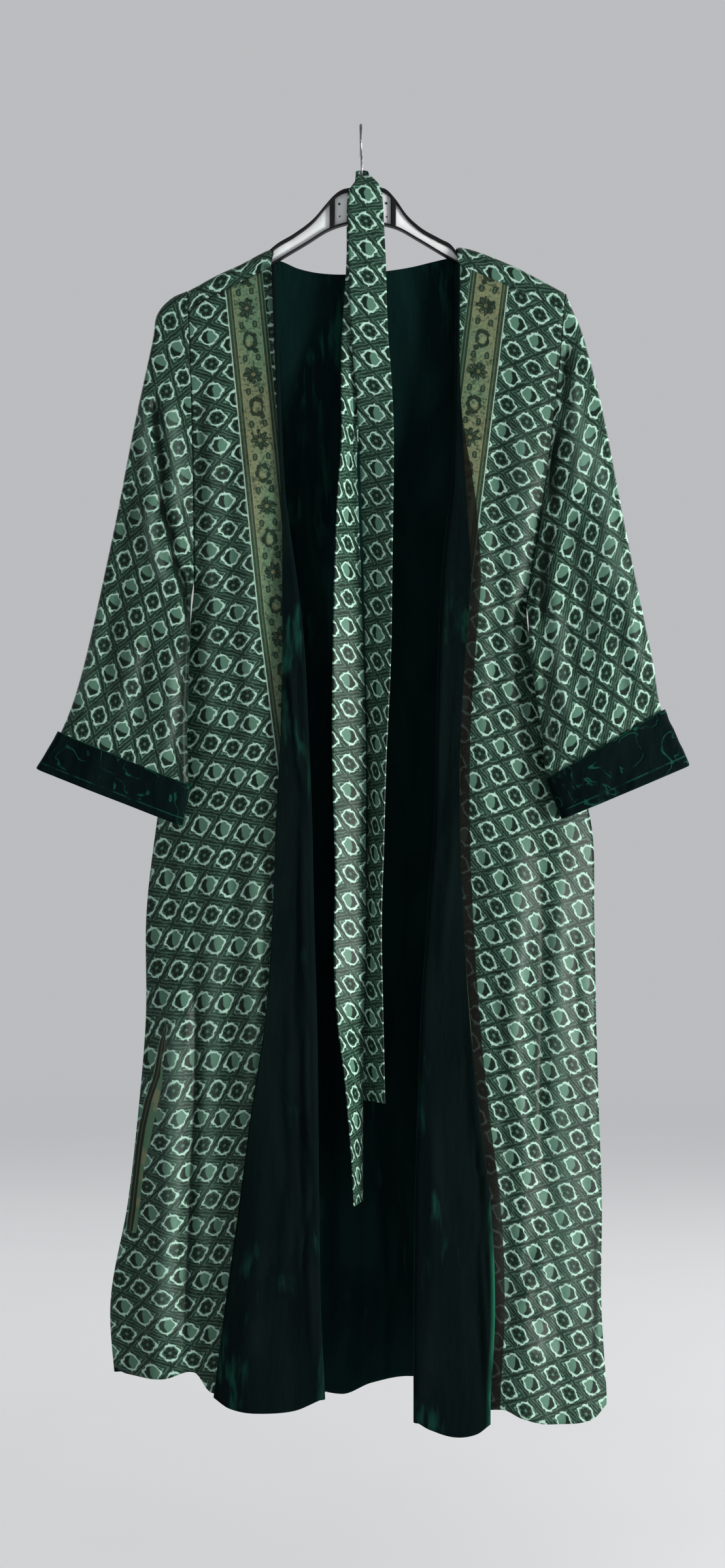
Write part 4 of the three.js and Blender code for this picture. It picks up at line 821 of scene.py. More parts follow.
def noise(scale, detail=2.0, vector=None, distortion=0.0, stretch=None, roughness=0.5, colour=False):
    """scale in waves per metre on the object, or of the given vector"""
    tree = E.tree
    if vector is None:
        tc = tree.nodes.new("ShaderNodeTexCoord")
        vector = tc.outputs["Object"]
    if stretch:
        m = tree.nodes.new("ShaderNodeMapping")
        m.inputs["Scale"].default_value = stretch
        tree.links.new(vector, m.inputs["Vector"])
        vector = m.outputs[0]
    n = tree.nodes.new("ShaderNodeTexNoise")
    n.inputs["Scale"].default_value = scale
    n.inputs["Detail"].default_value = detail
    n.inputs["Roughness"].default_value = roughness
    n.inputs["Distortion"].default_value = distortion
    tree.links.new(vector, n.inputs["Vector"])
    return E(n.outputs["Color"] if colour else n.outputs["Fac"])


def split(vector_socket):
    node = E.tree.nodes.new("ShaderNodeSeparateXYZ")
    E.tree.links.new(vector_socket, node.inputs[0])
    return E(node.outputs[0]), E(node.outputs[1]), E(node.outputs[2])


def uv(layer):
    node = E.tree.nodes.new("ShaderNodeUVMap")
    node.uv_map = layer
    x, y, _ = split(node.outputs[0])
    return x * 100.0, y * 100.0


def material(name):
    m = bpy.data.materials.new(name)
    m.use_nodes = True
    E.tree = m.node_tree
    bsdf = m.node_tree.nodes["Principled BSDF"]
    return m, bsdf


def link(value, socket):
    E.tree.links.new(value.socket, socket)


def bump(bsdf, height, strength, distance):
    node = E.tree.nodes.new("ShaderNodeBump")
    node.inputs["Strength"].default_value = strength
    node.inputs["Distance"].default_value = distance
    E.tree.links.new(height.socket, node.inputs["Height"])
    E.tree.links.new(node.outputs[0], bsdf.inputs["Normal"])


MOSS = srgb(52, 84, 68)
DEEP = srgb(24, 52, 40)
DARK = srgb(12, 32, 23)
PALE = srgb(172, 208, 192)
FILL = srgb(80, 118, 100)
DASH = srgb(98, 136, 118)
OLIVE = srgb(110, 120, 90)
OLIVE_GREEN = srgb(84, 120, 94)
OCHRE = srgb(136, 136, 98)
BROWN = srgb(34, 36, 24)

# the print's repeat, in millimetres of cloth: s away from the front edge, t along it
ROW_S, ROW_SHIFT, ROW_T = 22.8, 10.6, 29.4
FLOWER_STEP = 36.0


def lattice(s, t):
    """spiky six-sided outlines in slanting rows, flowers and buds by turns, on a ground of crossing strokes"""
    wobble = noise(150.0, 2.0, colour=True)
    wx, wy, _ = split(wobble.socket)
    s = s + (wx - 0.5) * 3.4
    t = t + (wy - 0.5) * 3.4
    a = s / ROW_S
    b = t / ROW_T + a * (ROW_SHIFT / ROW_T)
    fa, fb = a - a.round(), b - b.round()
    x = fa * ROW_S
    y = fb * ROW_T - fa * ROW_SHIFT

    def apart(px, py):
        return ((px.abs() / 9.6).pow(1.5) + (py.abs() / 8.5).pow(1.5)).pow(1 / 1.5)
    own = apart(x, y)
    angle = E.make("ARCTAN2", y * 1.15, x)
    jag = noise(430.0, 1.0)
    ring = own - (angle * 6.0).cos() * 0.055 + (jag - 0.5) * 0.20
    knots = (angle * 4.0).cos() * 0.5 + 0.5
    knots_b = (angle * 6.0 + 1.0).cos() * 0.5 + 0.5
    thick = noise(110.0, 1.0)
    outline = step((ring - 1.0).abs() - knots * 0.06 - knots_b * 0.03 - (thick - 0.5) * 0.12, 0.110, 0.01)
    # pointed spurs at the four corners
    ax, ay = x.abs(), y.abs()
    spur = step(ay + (ax - 10.0) * 0.34, 1.7, 0.6) * step(ax, 8.6, 9.6) * step(ax, 13.0, 11.2)
    spur_b = step(ax + (ay - 8.4) * 0.34, 1.7, 0.6) * step(ay, 7.4, 8.4) * step(ay, 11.6, 10.0)
    outline = outline.max(spur).max(spur_b * 0.9)
    inside = step(ring, 1.0, 0.92)
    # flower: six dark petals round a pale eye
    r = ((x / 7.2).pow(2.0) + (y / 6.3).pow(2.0)).sqrt()
    lobes = (angle * 3.0 + 0.6).cos().abs()
    petals = step(r - lobes * 0.22, 0.84, 0.66)
    cuts = step(lobes, 0.40, 0.10) * step(r, 0.30, 0.46)
    eye = step(r, 0.34, 0.14)
    # bud: a pale field with a deep crescent on its outer side
    moon = step(((x + 5.6).pow(2.0) + y.pow(2.0) * 0.62).sqrt(), 6.8, 8.0) * step(r, 1.14, 0.98) * step(x, -0.6, 1.0)
    odd = step((b.round() * 0.5 - (b.round() * 0.5).round()).abs(), 0.1, 0.4)
    even = 1.0 - odd
    # between the shapes two slanting sets of strokes meet, light on deep, broken here and there
    torn = noise(200.0, 1.0)
    slow = noise(90.0, 1.0)
    slant = a - b
    to_row = (0.5 - fb.abs()) * 27.6 + (slow - 0.5) * 3.0 + (jag - 0.5) * 1.6
    to_slant = (0.5 - (slant - slant.round()).abs()) * 22.7 + (slow - 0.5) * 3.0 + (jag - 0.5) * 1.6
    row_stroke = step((to_row * (6.2832 / 3.4)).cos() * -1.0, -0.15, 0.65)
    slant_stroke = step((to_slant * (6.2832 / 3.4)).cos() * -1.0, -0.15, 0.65)
    light = E.make("MULTIPLY", row_stroke, 1.0 - step(to_row - to_slant, -0.7, 0.7)) + slant_stroke * step(to_row - to_slant, -0.7, 0.7)
    light = light * (step(torn, 0.34, 0.46) * 0.75 + 0.25)
    dark = step((own - 1.32).abs(), 0.12, 0.04)
    colour = mix(DEEP, DASH, light * 0.88)
    colour = mix(colour, DARK, dark * 0.6)
    # the two sets meet along deep bands
    band = step(to_row.abs(), 3.4, 1.8).max(step(to_slant.abs(), 3.2, 1.6))
    colour = mix(colour, DARK, band * (0.30 + step(torn, 0.38, 0.50) * 0.34))
    colour = mix(colour, mix(MOSS, FILL, odd), inside)
    colour = mix(colour, DARK, inside * even * petals)
    colour = mix(colour, MOSS, inside * even * petals * cuts * 0.5)
    colour = mix(colour, FILL, inside * even * eye * 0.8)
    colour = mix(colour, DARK, inside * odd * moon)
    return mix(colour, PALE, outline * 0.94)


def border(d, v):
    """the woven-look band: lattice strip, dark stripe pair, olive field with flowers and curls, outer stripe"""
    wobble = noise(160.0, 2.0, colour=True)
    wx, wy, _ = split(wobble.socket)
    dd = d + (wx - 0.5) * 1.6
    vv = v + (wy - 0.5) * 1.6
    cell = (vv / FLOWER_STEP).round()
    y = vv - cell * FLOWER_STEP
    odd = step((cell * 0.5 - (cell * 0.5).round()).abs(), 0.1, 0.4)
    x = dd - 37.5
    r = (x.pow(2.0) + y.pow(2.0)).sqrt()
    angle = E.make("ARCTAN2", y, x)
    speck_big = noise(210.0, 1.0)
    flower = step(r - (angle * 4.0).cos().abs() * 3.2 - (speck_big - 0.5) * 12.0, 7.8, 6.2)
    veins = step((angle * 4.0).sin().abs(), 0.30, 0.12) * step(r, 3.0, 4.0) * step(r, 9.2, 8.0)
    eye = step(r, 2.5, 1.7)
    curl_r = ((x / 8.2).pow(2.0) + ((y + 0.5) / 10.8).pow(2.0)).sqrt()
    curl = step((curl_r - 0.74).abs() - (speck_big - 0.5) * 0.7, 0.30, 0.18)
    hook = step(((x - 1.6).pow(2.0) + (y * 0.8 - 1.4).pow(2.0)).sqrt() - 2.6, 1.2, 0.5)
    tail = step(((x + 5.4).pow(2.0) + (y - 10.4).pow(2.0)).sqrt(), 3.4, 2.6)
    # small round buds half way between
    y2 = (y.abs() - FLOWER_STEP / 2).abs()
    side = (x.abs() - 7.2).abs()
    bud_r = (side.pow(2.0) + (y2 - 1.2).pow(2.0)).sqrt()
    bud = step(bud_r, 3.1, 2.4)
    bud_eye = step(bud_r, 1.3, 0.8)
    cloud = noise(16.0, 3.0, stretch=(1.0, 1.0, 0.45))
    speck = noise(330.0, 1.0)
    field = mix(OLIVE, OLIVE_GREEN, step(cloud, 0.44, 0.62) * 0.8)
    field = mix(field, OCHRE, step(speck, 0.60, 0.68) * 0.6)
    field = mix(field, BROWN, step(speck, 0.44, 0.34) * 0.6)
    field = mix(field, DARK, flower * (1.0 - odd) * 0.90)
    field = mix(field, OLIVE_GREEN, veins * (1.0 - odd) * 0.55)
    field = mix(field, OCHRE, eye * (1.0 - odd) * 0.5)
    field = mix(field, DARK, (curl.max(tail)) * odd * 0.88)
    field = mix(field, OCHRE, hook * odd * 0.35)
    blots = noise(105.0, 2.0)
    field = mix(field, DARK, step(blots, 0.60, 0.67) * 0.55)
    field = mix(field, DARK, bud * 0.85)
    field = mix(field, OLIVE_GREEN, bud_eye * 0.5)

    def stripe(a, b, soft=0.35):
        return step(d, a - soft, a + soft) * step(d, b + soft, b - soft)
    colour = mix(field, DARK, stripe(17.2, 23.2) * 0.86)
    colour = mix(colour, OLIVE_GREEN, stripe(19.4, 21.0) * 0.55)
    colour = mix(colour, OLIVE_GREEN, stripe(16.5, 17.2, 0.2) + 0.0)
    colour = mix(colour, OLIVE, stripe(23.2, 24.0, 0.2))
    colour = mix(colour, DARK, stripe(51.6, 57.6) * 0.80)
    colour = mix(colour, OLIVE_GREEN, stripe(53.8, 55.2) * 0.45)
    colour = mix(colour, OCHRE, stripe(50.9, 51.6, 0.2) * 0.7)
    colour = mix(colour, PALE, stripe(57.8, 58.8, 0.25) * 0.7)
    inside = stripe(16.6, 58.9, 0.2)
    return colour, inside


def silk_finish(bsdf, colour, deepen=0.22):
    """satin silk: fine twill threads, a soft lustre, a little slub, with painted shade in the creases' troughs and a
    faint painted highlight on their ridges
    """
    trough, ridge = uv("painted_light")
    colour = mix(colour, (0.0, 0.0, 0.0, 1.0), deepen)
    # painted shade darkens the cloth in the troughs; a painted highlight lightens it on the ridges
    colour = mix(colour, (0.0, 0.006, 0.003, 1.0), step(trough, 1.0, 7.5) * 0.86)
    colour = mix(colour, PALE, step(ridge, 1.0, 6.0) * 0.07)
    slub = noise(900.0, 2.0, stretch=(1.0, 1.0, 0.08))
    shade = noise(7.0, 3.0)
    colour = mix(colour, (0.0, 0.0, 0.0, 1.0), (shade - 0.35).sat() * 0.30)
    link(colour, bsdf.inputs["Base Color"])
    link((slub - 0.5) * 0.10 + 0.44, bsdf.inputs["Roughness"])
    bsdf.inputs["Specular IOR Level"].default_value = 0.12
    bsdf.inputs["Sheen Weight"].default_value = 0.05
    bsdf.inputs["Sheen Roughness"].default_value = 0.4
    bsdf.inputs["Sheen Tint"].default_value = (0.75, 0.95, 0.85, 1.0)
    weave = noise(2400.0, 1.0, stretch=(1.0, 1.0, 0.35))
    rumple = noise(70.0, 3.0, stretch=(1.0, 1.0, 0.35))
    bump(bsdf, weave * 0.12 + rumple, 0.30, 0.0012)


def printed_silk(name, with_border=True, deepen=0.22):
    m, bsdf = material(name)
    s, t = uv("print")
    colour = lattice(s, t)
    if with_border:
        d, v = uv("band")
        band, inside = border(d, v)
        colour = mix(colour, band, inside)
        q, w = uv("shade")
        # the second band, just its stripes and a sliver of its field, along the side
        mottled = noise(46.0, 2.0)
        field = mix(OLIVE_GREEN, OCHRE, step(mottled, 0.50, 0.62) * 0.7)
        colour = mix(colour, field, step(w, 3.0, 3.8) * step(w, 12.4, 11.6))
        colour = mix(colour, BROWN, step(w.abs(), 4.0, 3.4))
        colour = mix(colour, OLIVE_GREEN, step(w.abs(), 0.7, 0.3) * 0.5)
        colour = mix(colour, DASH, step((w + 4.4).abs(), 0.7, 0.3) * 0.8)
        # painted shadow: the cloth beside the turned-back edge, in its shade, is darkened to a deep brown
        strip = step(q, -0.06, 0.04) * step(q, 1.04, 0.94)
        deep = mix(colour, (0.0, 0.0, 0.0, 1.0), 0.90)
        deep = mix(deep, srgb(26, 22, 14), 0.40)
        colour = mix(colour, deep, strip)
    silk_finish(bsdf, colour, deepen)
    return m


def velvet(name, edges=False, crushed=0.45, tone=1.0, rims=1.0):
    m, bsdf = material(name)
    nap = noise(20.0, 4.0, distortion=0.8, stretch=(1.0, 1.0, 0.30))
    streak = noise(110.0, 3.0, distortion=0.4, stretch=(1.0, 1.0, 0.16))
    fine = noise(170.0, 3.0, stretch=(1.0, 1.0, 0.4))
    pile = noise(2600.0, 1.0)
    # patches of crushed pile, lightened as painted sheen
    crush_sheen = step(nap, 0.56, 0.72) * step(streak, 0.48, 0.66)
    base = mix(srgb(3 * tone, 17 * tone, 16 * tone), srgb(1 * tone, 11 * tone, 11.5 * tone), step(nap, 0.35, 0.65))
    if crushed > 0.5:
        # thin painted highlights where the pile is creased
        wrinkle = (noise(24.0, 2.0, distortion=1.4) - 0.5).abs()
        crush_sheen = step(wrinkle, 0.017, 0.002) * step(noise(60.0, 2.0), 0.44, 0.60)
    base = mix(base, srgb(18, 70, 56), crush_sheen * crushed)
    if edges:
        # painted highlights: a glow along the free edge and along the fold, broken up by noise
        e, f = uv("edge")
        glint_breakup = noise(60.0, 3.0, stretch=(1.0, 1.0, 0.22))
        rim = step(e, 6.0 if rims > 0.9 else 2.0, 0.2) * step(glint_breakup, 0.30, 0.60)
        fold = step(f.abs(), 3.6 if rims > 0.9 else 1.3, 0.4) * step(glint_breakup, 0.66, 0.44)
        base = mix(base, srgb(28, 90, 70), (rim * (0.85 * rims)).max(fold * (0.60 * rims)))
    link(base, bsdf.inputs["Base Color"])
    link((pile - 0.5) * 0.2 + 0.80, bsdf.inputs["Roughness"])
    bsdf.inputs["Specular IOR Level"].default_value = 0.04
    bsdf.inputs["Sheen Weight"].default_value = 0.20
    bsdf.inputs["Sheen Roughness"].default_value = 0.24
    bsdf.inputs["Sheen Tint"].default_value = (0.06, 0.50, 0.34, 1.0)
    bump(bsdf, pile * 0.2 + fine * 0.6 + nap * 1.2 + streak * 0.7, 0.55, 0.0022)
    return m


def plastic(name, colour, rough, grain):
    m, bsdf = material(name)
    n = noise(900.0, 2.0)
    wear = noise(40.0, 4.0)
    link(mix(colour, tuple(min(1.0, c * 1.35 + 0.004) for c in colour[:3]) + (1.0,), step(wear, 0.45, 0.75) * 0.5), bsdf.inputs["Base Color"])
    link((n - 0.5) * 0.12 + rough, bsdf.inputs["Roughness"])
    bsdf.inputs["Specular IOR Level"].default_value = 0.22
    bump(bsdf, n, grain * 0.15, 0.0002)
    return m


def steel(name):
    m, bsdf = material(name)
    n = noise(500.0, 3.0, stretch=(1.0, 1.0, 0.15))
    link(mix(srgb(118, 118, 121), srgb(78, 78, 82), step(n, 0.4, 0.7)), bsdf.inputs["Base Color"])
    bsdf.inputs["Metallic"].default_value = 1.0
    link((n - 0.5) * 0.2 + 0.32, bsdf.inputs["Roughness"])
    bump(bsdf, n, 0.15, 0.0002)
    return m


SILK_PRINT = printed_silk("silk_print_banded")
SILK_PLAIN = printed_silk("silk_print", with_border=False)
# the right sleeve's silk is painted darker than the left's: painted shade on one copy of the same cloth
SILK_SLEEVE = {"right": printed_silk("silk_sleeve_right", False, 0.29), "left": printed_silk("silk_sleeve_left", False, 0.14)}
SILK_BELT = printed_silk("silk_belt", False, 0.0)
VELVET = velvet("velvet_green")
# lit and shaded copies of one velvet: the lapels' painted a little darker, the back lining's painted much lighter where
# it lies in the fronts' shade
VELVET_PAINTED_EDGE_GLOW = velvet("velvet_green_painted_edge_glow", edges=True, tone=0.85)
VELVET_BACK = velvet("velvet_green_back", tone=1.75)
VELVET_CUFF = velvet("velvet_green_cuff", edges=True, crushed=0.75, tone=1.0, rims=0.55)

# ------------------------------------------------------------------ where each piece lies in the cloth
def cloth_line(points):
    xs = np.array([p[0] for p in points], float)
    zs = np.array([p[1] for p in points], float)
    return lambda z: np.interp(-z, -zs, xs)


# the outer stripe of each front's band
BAND_RIGHT = cloth_line(((-151.6, -150), (-112.8, -532.6), (-64.5, -900), (10.2, -1400), (20, -1460)))
BAND_LEFT = cloth_line(((164.6, -150), (117.1, -532), (55.5, -900), (-46.2, -1400), (-58, -1460)))


def front_cloth(way, line, lean, flat, z):
    """distance from the front edge and distance along it"""
    ca, sa = math.cos(lean), math.sin(lean)
    d = 60 + way * (line(z) - flat) * ca
    v = -z * ca + way * flat * sa
    return d, v


def pack_uv(a, b):
    return np.stack([a, b], -1) * 0.01


def painted_light_uv(depth):
    """how deep a trough and how high a ridge the cloth lies in, for painted shade in the troughs and a painted
    highlight on the ridges
    """
    return pack_uv(np.maximum(depth, 0), np.maximum(-depth, 0))


def columns(spans):
    """grid positions: pairs of end and number of steps, from zero"""
    out, last = [0.0], 0.0
    for end, n in spans:
        out += list(np.linspace(last, end, n + 1)[1:])
        last = end
    return np.array(out)


def grid(us, vs):
    return np.meshgrid(us, vs)


pieces = {}
flat_sizes = {}


def declare(o, node, flat, held, rests, area=None):
    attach(o, "root")
    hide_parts(node)
    pieces[node] = o
    flat_sizes[node] = (o, flat, held, rests, area)


# ---- fronts
# low down, the left front reaches round to the back's own edge, past a crease where it turned in
old_side = [(r["z"], r["side"]) for r in FRONT_LEFT]
FRONT_LEFT = [dict(r, side=float(lerp(r["side"], max(r["side"], at(BACK, "left", np.array(float(r["z"])))), ease(-1060, -1130, np.array(float(r["z"])))))) for r in FRONT_LEFT]
turned = sorted((z0, x0) for z0, x0 in old_side if z0 < -1100)
if len(turned) > 1:
    CREASES_FRONT_LEFT = CREASES_FRONT_LEFT + [dict(xa=turned[-1][1] - 1, za=turned[-1][0], xb=turned[0][1] - 1, zb=turned[0][0], half=3.2, out=3.6)]
FU = columns(((1.0, 62), (2.0, 8), (3.0, 34)))
FV = columns(((0.05, 14), (1.0, 194)))
fronts = (
    ("right", 1.0, FRONT_RIGHT, FOLDS_RIGHT, HEM_RIGHT, HEM_LAPEL_RIGHT, SLEEVE_RIGHT, CREASES_FRONT_RIGHT, CREASES_LAPEL_RIGHT, 41, BAND_RIGHT, math.radians(6.6)),
    ("left", -1.0, FRONT_LEFT, FOLDS_LEFT, HEM_LEFT, HEM_LAPEL_LEFT, SLEEVE_LEFT, CREASES_FRONT_LEFT, CREASES_LAPEL_LEFT, 57, BAND_LEFT, math.radians(8.4)),
)
for hand, way, rows, folds, hem, hem_lapel, sleeve, creases, lapel_creases, seed, line, lean in fronts:
    u, v = grid(FU, FV)
    P, flat = front(rows, folds, hem, hem_lapel, sleeve, creases, lapel_creases, seed, u, v)
    z = P[..., 2]
    d, along = front_cloth(way, line, lean, flat, z)
    if hand == "right":
        # the cloth hangs a little off the straight lower down; a flower sits at (-156, -319)
        shear = np.interp(-z, (320, 600, 750, 900, 1060), (0.0, 0.11, 0.18, 0.27, 0.355))
        # left of the long crease near the hem the cloth leans the other way
        crease_x = np.interp(-z, (1000, 1150, 1354), (-206.0, -193.6, -174.4))
        beyond = np.maximum(0.0, d - (60 + (line(z) - crease_x) * math.cos(lean)))
        s, t = d, along - shear * d + (shear + 0.0) * ease(-1020, -1180, z) * beyond
        s0, t0 = front_cloth(way, line, lean, np.array(-156.0), np.array(-319.1))
        # a second band's stripes cross the side, on a slanting line
        zs = (977, 996, 1031, 1060, 1090, 1113, 1139, 1195, 1400)
        side_line = np.interp(-z, zs, (-210.0, -214.1, -219.8, -230.4, -237.4, -240.8, -243.8, -250.0, -285.0))
        w = flat - side_line
        thin = np.maximum(ease(-968, -1004, z), 0.02)
        w = np.where(w < 3.6, w / thin, 3.6 + (w - 3.6) * 9.0 / np.maximum(9.0 * ease(-1010, -1064, z) * (1 - 0.5 * ease(-1090, -1140, z)), 0.2))
        shade = pack_uv(200 + 0 * w, np.where((z > -962) | (z < -1205), 200.0, np.clip(w, -150, 150)))
        band = d
        along0 = -(-199.6) * math.cos(lean) + (-121.3) * math.sin(lean)
    else:
        k = lerp(0.25, 0.40, ease(-300, -900, z))
        s, t = d, -(along - k * d)
        s0, t0 = front_cloth(way, line, lean, np.array(180.3), np.array(-1032.9))
        t0 = -(t0 - 0.40 * s0)
        band = d
        # beside the free edge of the lapel lies a strip in its shade
        free = at(rows, "edge", z)
        q = (flat - free) / np.maximum(11.0 * ease(-290, -430, z), 0.3)
        shade = pack_uv(np.clip(np.where(u <= 1.0, q, 200.0), -50, 200), 200 + 0 * q)
        along0 = 195.1 * math.cos(lean) - 122.6 * math.sin(lean)
    # painted shade in the creases and along the side edge beside the armhole; painted highlight on the ridges
    uvs = {"print": pack_uv(s - s0 + 22.8 * 40, t - t0 - 10.6 * 40 + 29.4 * 40), "band": pack_uv(band, along - along0 + 720), "shade": shade, "painted_light": painted_light_uv(1.6 * creases_at(creases, flat, z) + 5.0 * (1 - ease(0.004, 0.026, u)) * (z > sleeve[0]["zUnder"] - 6))}
    # the edge layer places the velvet's painted highlights: along the lapel's free edge, only low down on the left
    # front, and along its fold
    fold_flat = at(rows, "fold", z) - way * 4.0
    far_edge = np.abs(at(rows, "edge", z) - P[..., 0])
    hot = ease(-1080, -1180, z) if hand == "left" else 0.0 * z
    edge = pack_uv(np.where(u > 2.0, far_edge + (1 - hot) * 50.0, 200.0), flat - fold_flat)
    mid = (30, (0, -1, 0))
    out_silk = shell(f"front_{hand}_silk_cloth", P, mid, 0.15, 0.85, uvs, SILK_PRINT)
    out_lining = shell(f"front_{hand}_velvet_cloth", P, mid, -0.15, -1.15, dict(uvs, edge=edge), VELVET_PAINTED_EDGE_GLOW)
    declare(out_silk, f"front_{hand}_silk", (0.35, 1.26), "hung", ["hanger_rim"], 0.25)
    declare(out_lining, f"front_{hand}_lining", (0.35, 1.26), "hung", ["hanger_rim"], 0.25)

# ---- back
BU = columns(((0.18, 20), (0.27, 16), (0.64, 46), (0.73, 16), (1.0, 30)))
BV = columns(((0.25, 44), (1.0, 224)))
u, v = grid(BU, BV)
CREASES_BACK = [dict(r, out=r["out"] * 1.7, half=r["half"] * 0.8) for r in CREASES_BACK]
P, q = back(u, v)
X, Z = P[..., 0], P[..., 2]
along = np.maximum(q, -60)
# painted shade in the back's creases and a painted highlight on their ridges
uvs = {"print": pack_uv(-X + 22.8 * 40 + 7, along + 29.4 * 40 - 10.6 * 40), "band": pack_uv(200 + 0 * X, along), "painted_light": painted_light_uv(1.4 * creases_at(CREASES_BACK, X, Z))}
mid = (len(BU) // 2, (0, 1, 0))
o = shell("back_silk_cloth", P, mid, 0.15, 0.85, uvs, SILK_PLAIN)
declare(o, "back_silk", (0.54, 1.29), "hung", ["hanger_rim"], 0.57)
o = shell("back_velvet_cloth", P, mid, -0.15, -1.15, uvs, VELVET_BACK)
declare(o, "back_lining", (0.54, 1.29), "hung", ["hanger_rim"], 0.57)

# ---- sleeves, as one piece from the seam under the arm round to the same seam
SLEEVE_N = 8


def outward_normals(P, rows, w, p):
    N = normals(P)
    g = p * 2 * np.pi
    c = np.cos(g)
    a, b = sleeve_point(rows, w, p * 0), sleeve_point(rows, w, p * 0 + 0.5)
    mid = a + (b - a) * ((1 - c) / 2)[..., None]
    way = np.sign(((P - mid) * N).sum(-1))
    # one sign for the whole sheet
    return N * (1.0 if way.sum() > 0 else -1.0)


def offset_shell(name, P, N, near, far, uvs, material):
    lo, hi = min(near, far), max(near, far)
    raw = normals(P)
    sign = 1.0 if (raw * N).sum() > 0 else -1.0
    r, c = P.shape[0] // 2, P.shape[1] // 2
    return shell(name, P, (c, N[r, c]), lo, hi, uvs, material)


for hand, rows, creases, seed in (("right", SLEEVE_RIGHT, CREASES_SLEEVE_RIGHT, 71), ("left", SLEEVE_LEFT, CREASES_SLEEVE_LEFT, 83)):
    ps = columns(((1.0, 168),))
    # closer columns at the two turned edges, opened at the seam under the arm
    ps = ps + 0.5 + 0.0004 * (1 - 2 * ps)
    warp = 0.030 * np.sin(ps * 4 * np.pi)
    ps = ps - warp
    ws = columns(((3.0, 26), (SLEEVE_N, 100)))
    p, w = grid(ps, ws)
    P = sleeve_point(rows, w, p, creases, seed)
    X, Z = P[..., 0], P[..., 2]
    way = -1.0 if hand == "right" else 1.0
    lean = math.radians(12.8 if hand == "right" else 12.0)
    # S runs down the sleeve, T across; behind, the cloth carries on round the outer edge
    sx, sz = way * math.sin(lean), -math.cos(lean)
    tx, tz = (math.cos(lean), -math.sin(lean)) if hand == "right" else (math.cos(lean), math.sin(lean))
    S, T = X * sx + Z * sz, X * tx + Z * tz
    edge = sleeve_point(rows, w, np.zeros_like(p))
    T_edge, S_edge = edge[..., 0] * tx + edge[..., 2] * tz, edge[..., 0] * sx + edge[..., 2] * sz
    # the outer fold is straight in the cloth, as the sleeve is cut straight
    slope, start = np.polyfit(S_edge[w > 3].ravel(), T_edge[w > 3].ravel(), 1)
    behind = np.sin(p * 2 * np.pi) < 0
    T = np.where(behind, 2 * (start + slope * S) - T + way * 12, T)
    if hand == "right":
        M = np.linalg.solve(np.array([[19.0, -13.9], [9.3, 27.3]]), np.array([[22.8, -10.6], [0.0, 29.4]]))
        rx, rz = -237.1, -459.0
    else:
        M = np.linalg.solve(np.array([[28.4, -12.2], [-9.6, 28.0]]), np.array([[22.8, -10.6], [0.0, 29.4]]))
        rx, rz = 222.2, -354.3
    s = S * M[0, 0] + T * M[1, 0]
    t = S * M[0, 1] + T * M[1, 1]
    S0, T0 = rx * sx + rz * sz, rx * tx + rz * tz
    # low down, the right sleeve's inner edge curves away into the dark: painted shade along it, much less on the left
    # sleeve
    around = np.mod(p, 1.0)
    inner_edge_painted_shade = (6.0 if hand == "right" else 1.5) * ease(0.375, 0.435, around) * (around < 0.5) * ease(-440, -540, Z)
    s0, t0 = S0 * M[0, 0] + T0 * M[1, 0], S0 * M[0, 1] + T0 * M[1, 1]
    # painted shade in the front's creases, along the armhole seam and along the inner edge; painted highlight on the
    # ridges
    uvs = {"print": pack_uv(s - s0 + 22.8 * 40, t - t0 - 10.6 * 40 + 29.4 * 40), "painted_light": painted_light_uv(np.where(behind, 0.0, 2.6) * creases_at(creases, X, Z) + 5.0 * (1 - ease(0.01, 0.07, w)) + inner_edge_painted_shade)}
    N = outward_normals(P, rows, w, p)
    o = offset_shell(f"sleeve_{hand}_silk_cloth", P, N, 0.15, 0.95, uvs, SILK_SLEEVE[hand])
    declare(o, f"sleeve_{hand}_silk", (0.34, 0.56), "hung", [f"front_{hand}_silk"], 0.10)

    # ---- cuff: inside the sleeve, round its end and back up over the silk
    n = SLEEVE_N
    sec = []
    for k in range(13):
        sec.append((n - 1 + k / 12, -1.0))
    for k in range(1, 10):
        a = k / 10 * math.pi
        sec.append((n + 2.0 * math.sin(a) / CUFF_DEPTH, lerp(-1.0, 2.35, (1 - math.cos(a)) / 2)))
    for k in range(31):
        sec.append((n - k / 30, 2.35))
    sec_w = np.array([a for a, _ in sec])
    sec_o = np.array([b for _, b in sec])
    pc = columns(((1.0, 180),)) + 0.5 + 0.0004 * (1 - 2 * columns(((1.0, 180),)))
    pc = pc - 0.030 * np.sin(pc * 4 * np.pi)
    p, w = grid(pc, sec_w)
    base = sleeve_point(rows, w, p, creases, seed)
    # normals of the sleeve itself, from a small step along and round it
    e = 1e-3
    du = sleeve_point(rows, w, p + e, creases, seed) - sleeve_point(rows, w, p - e, creases, seed)
    dw = sleeve_point(rows, w + e * 20, p, creases, seed) - sleeve_point(rows, w - e * 20, p, creases, seed)
    NN = np.cross(du, dw)
    NN /= np.maximum(np.linalg.norm(NN, axis=-1, keepdims=True), 1e-9)
    a, b = sleeve_point(rows, w, p * 0), sleeve_point(rows, w, p * 0 + 0.5)
    cc = (1 - np.cos(p * 2 * np.pi)) / 2
    mid3 = a + (b - a) * cc[..., None]
    NN *= 1.0 if ((base - mid3) * NN).sum() > 0 else -1.0
    off = np.repeat(sec_o[:, None], len(pc), 1)
    # the pile is crushed in places, more on the turned-back side
    crumple = 2.2 * hash_wave(base[..., 0] + 0 * off, base[..., 2], seed + 2, 8.0) + 1.2 * hash_wave(base[..., 0], base[..., 2], seed + 4, 3.8)
    off = off + np.where(off > 1.0, np.maximum(crumple, -0.25) + 0.3, 0.0)
    P = base + NN * off[..., None]
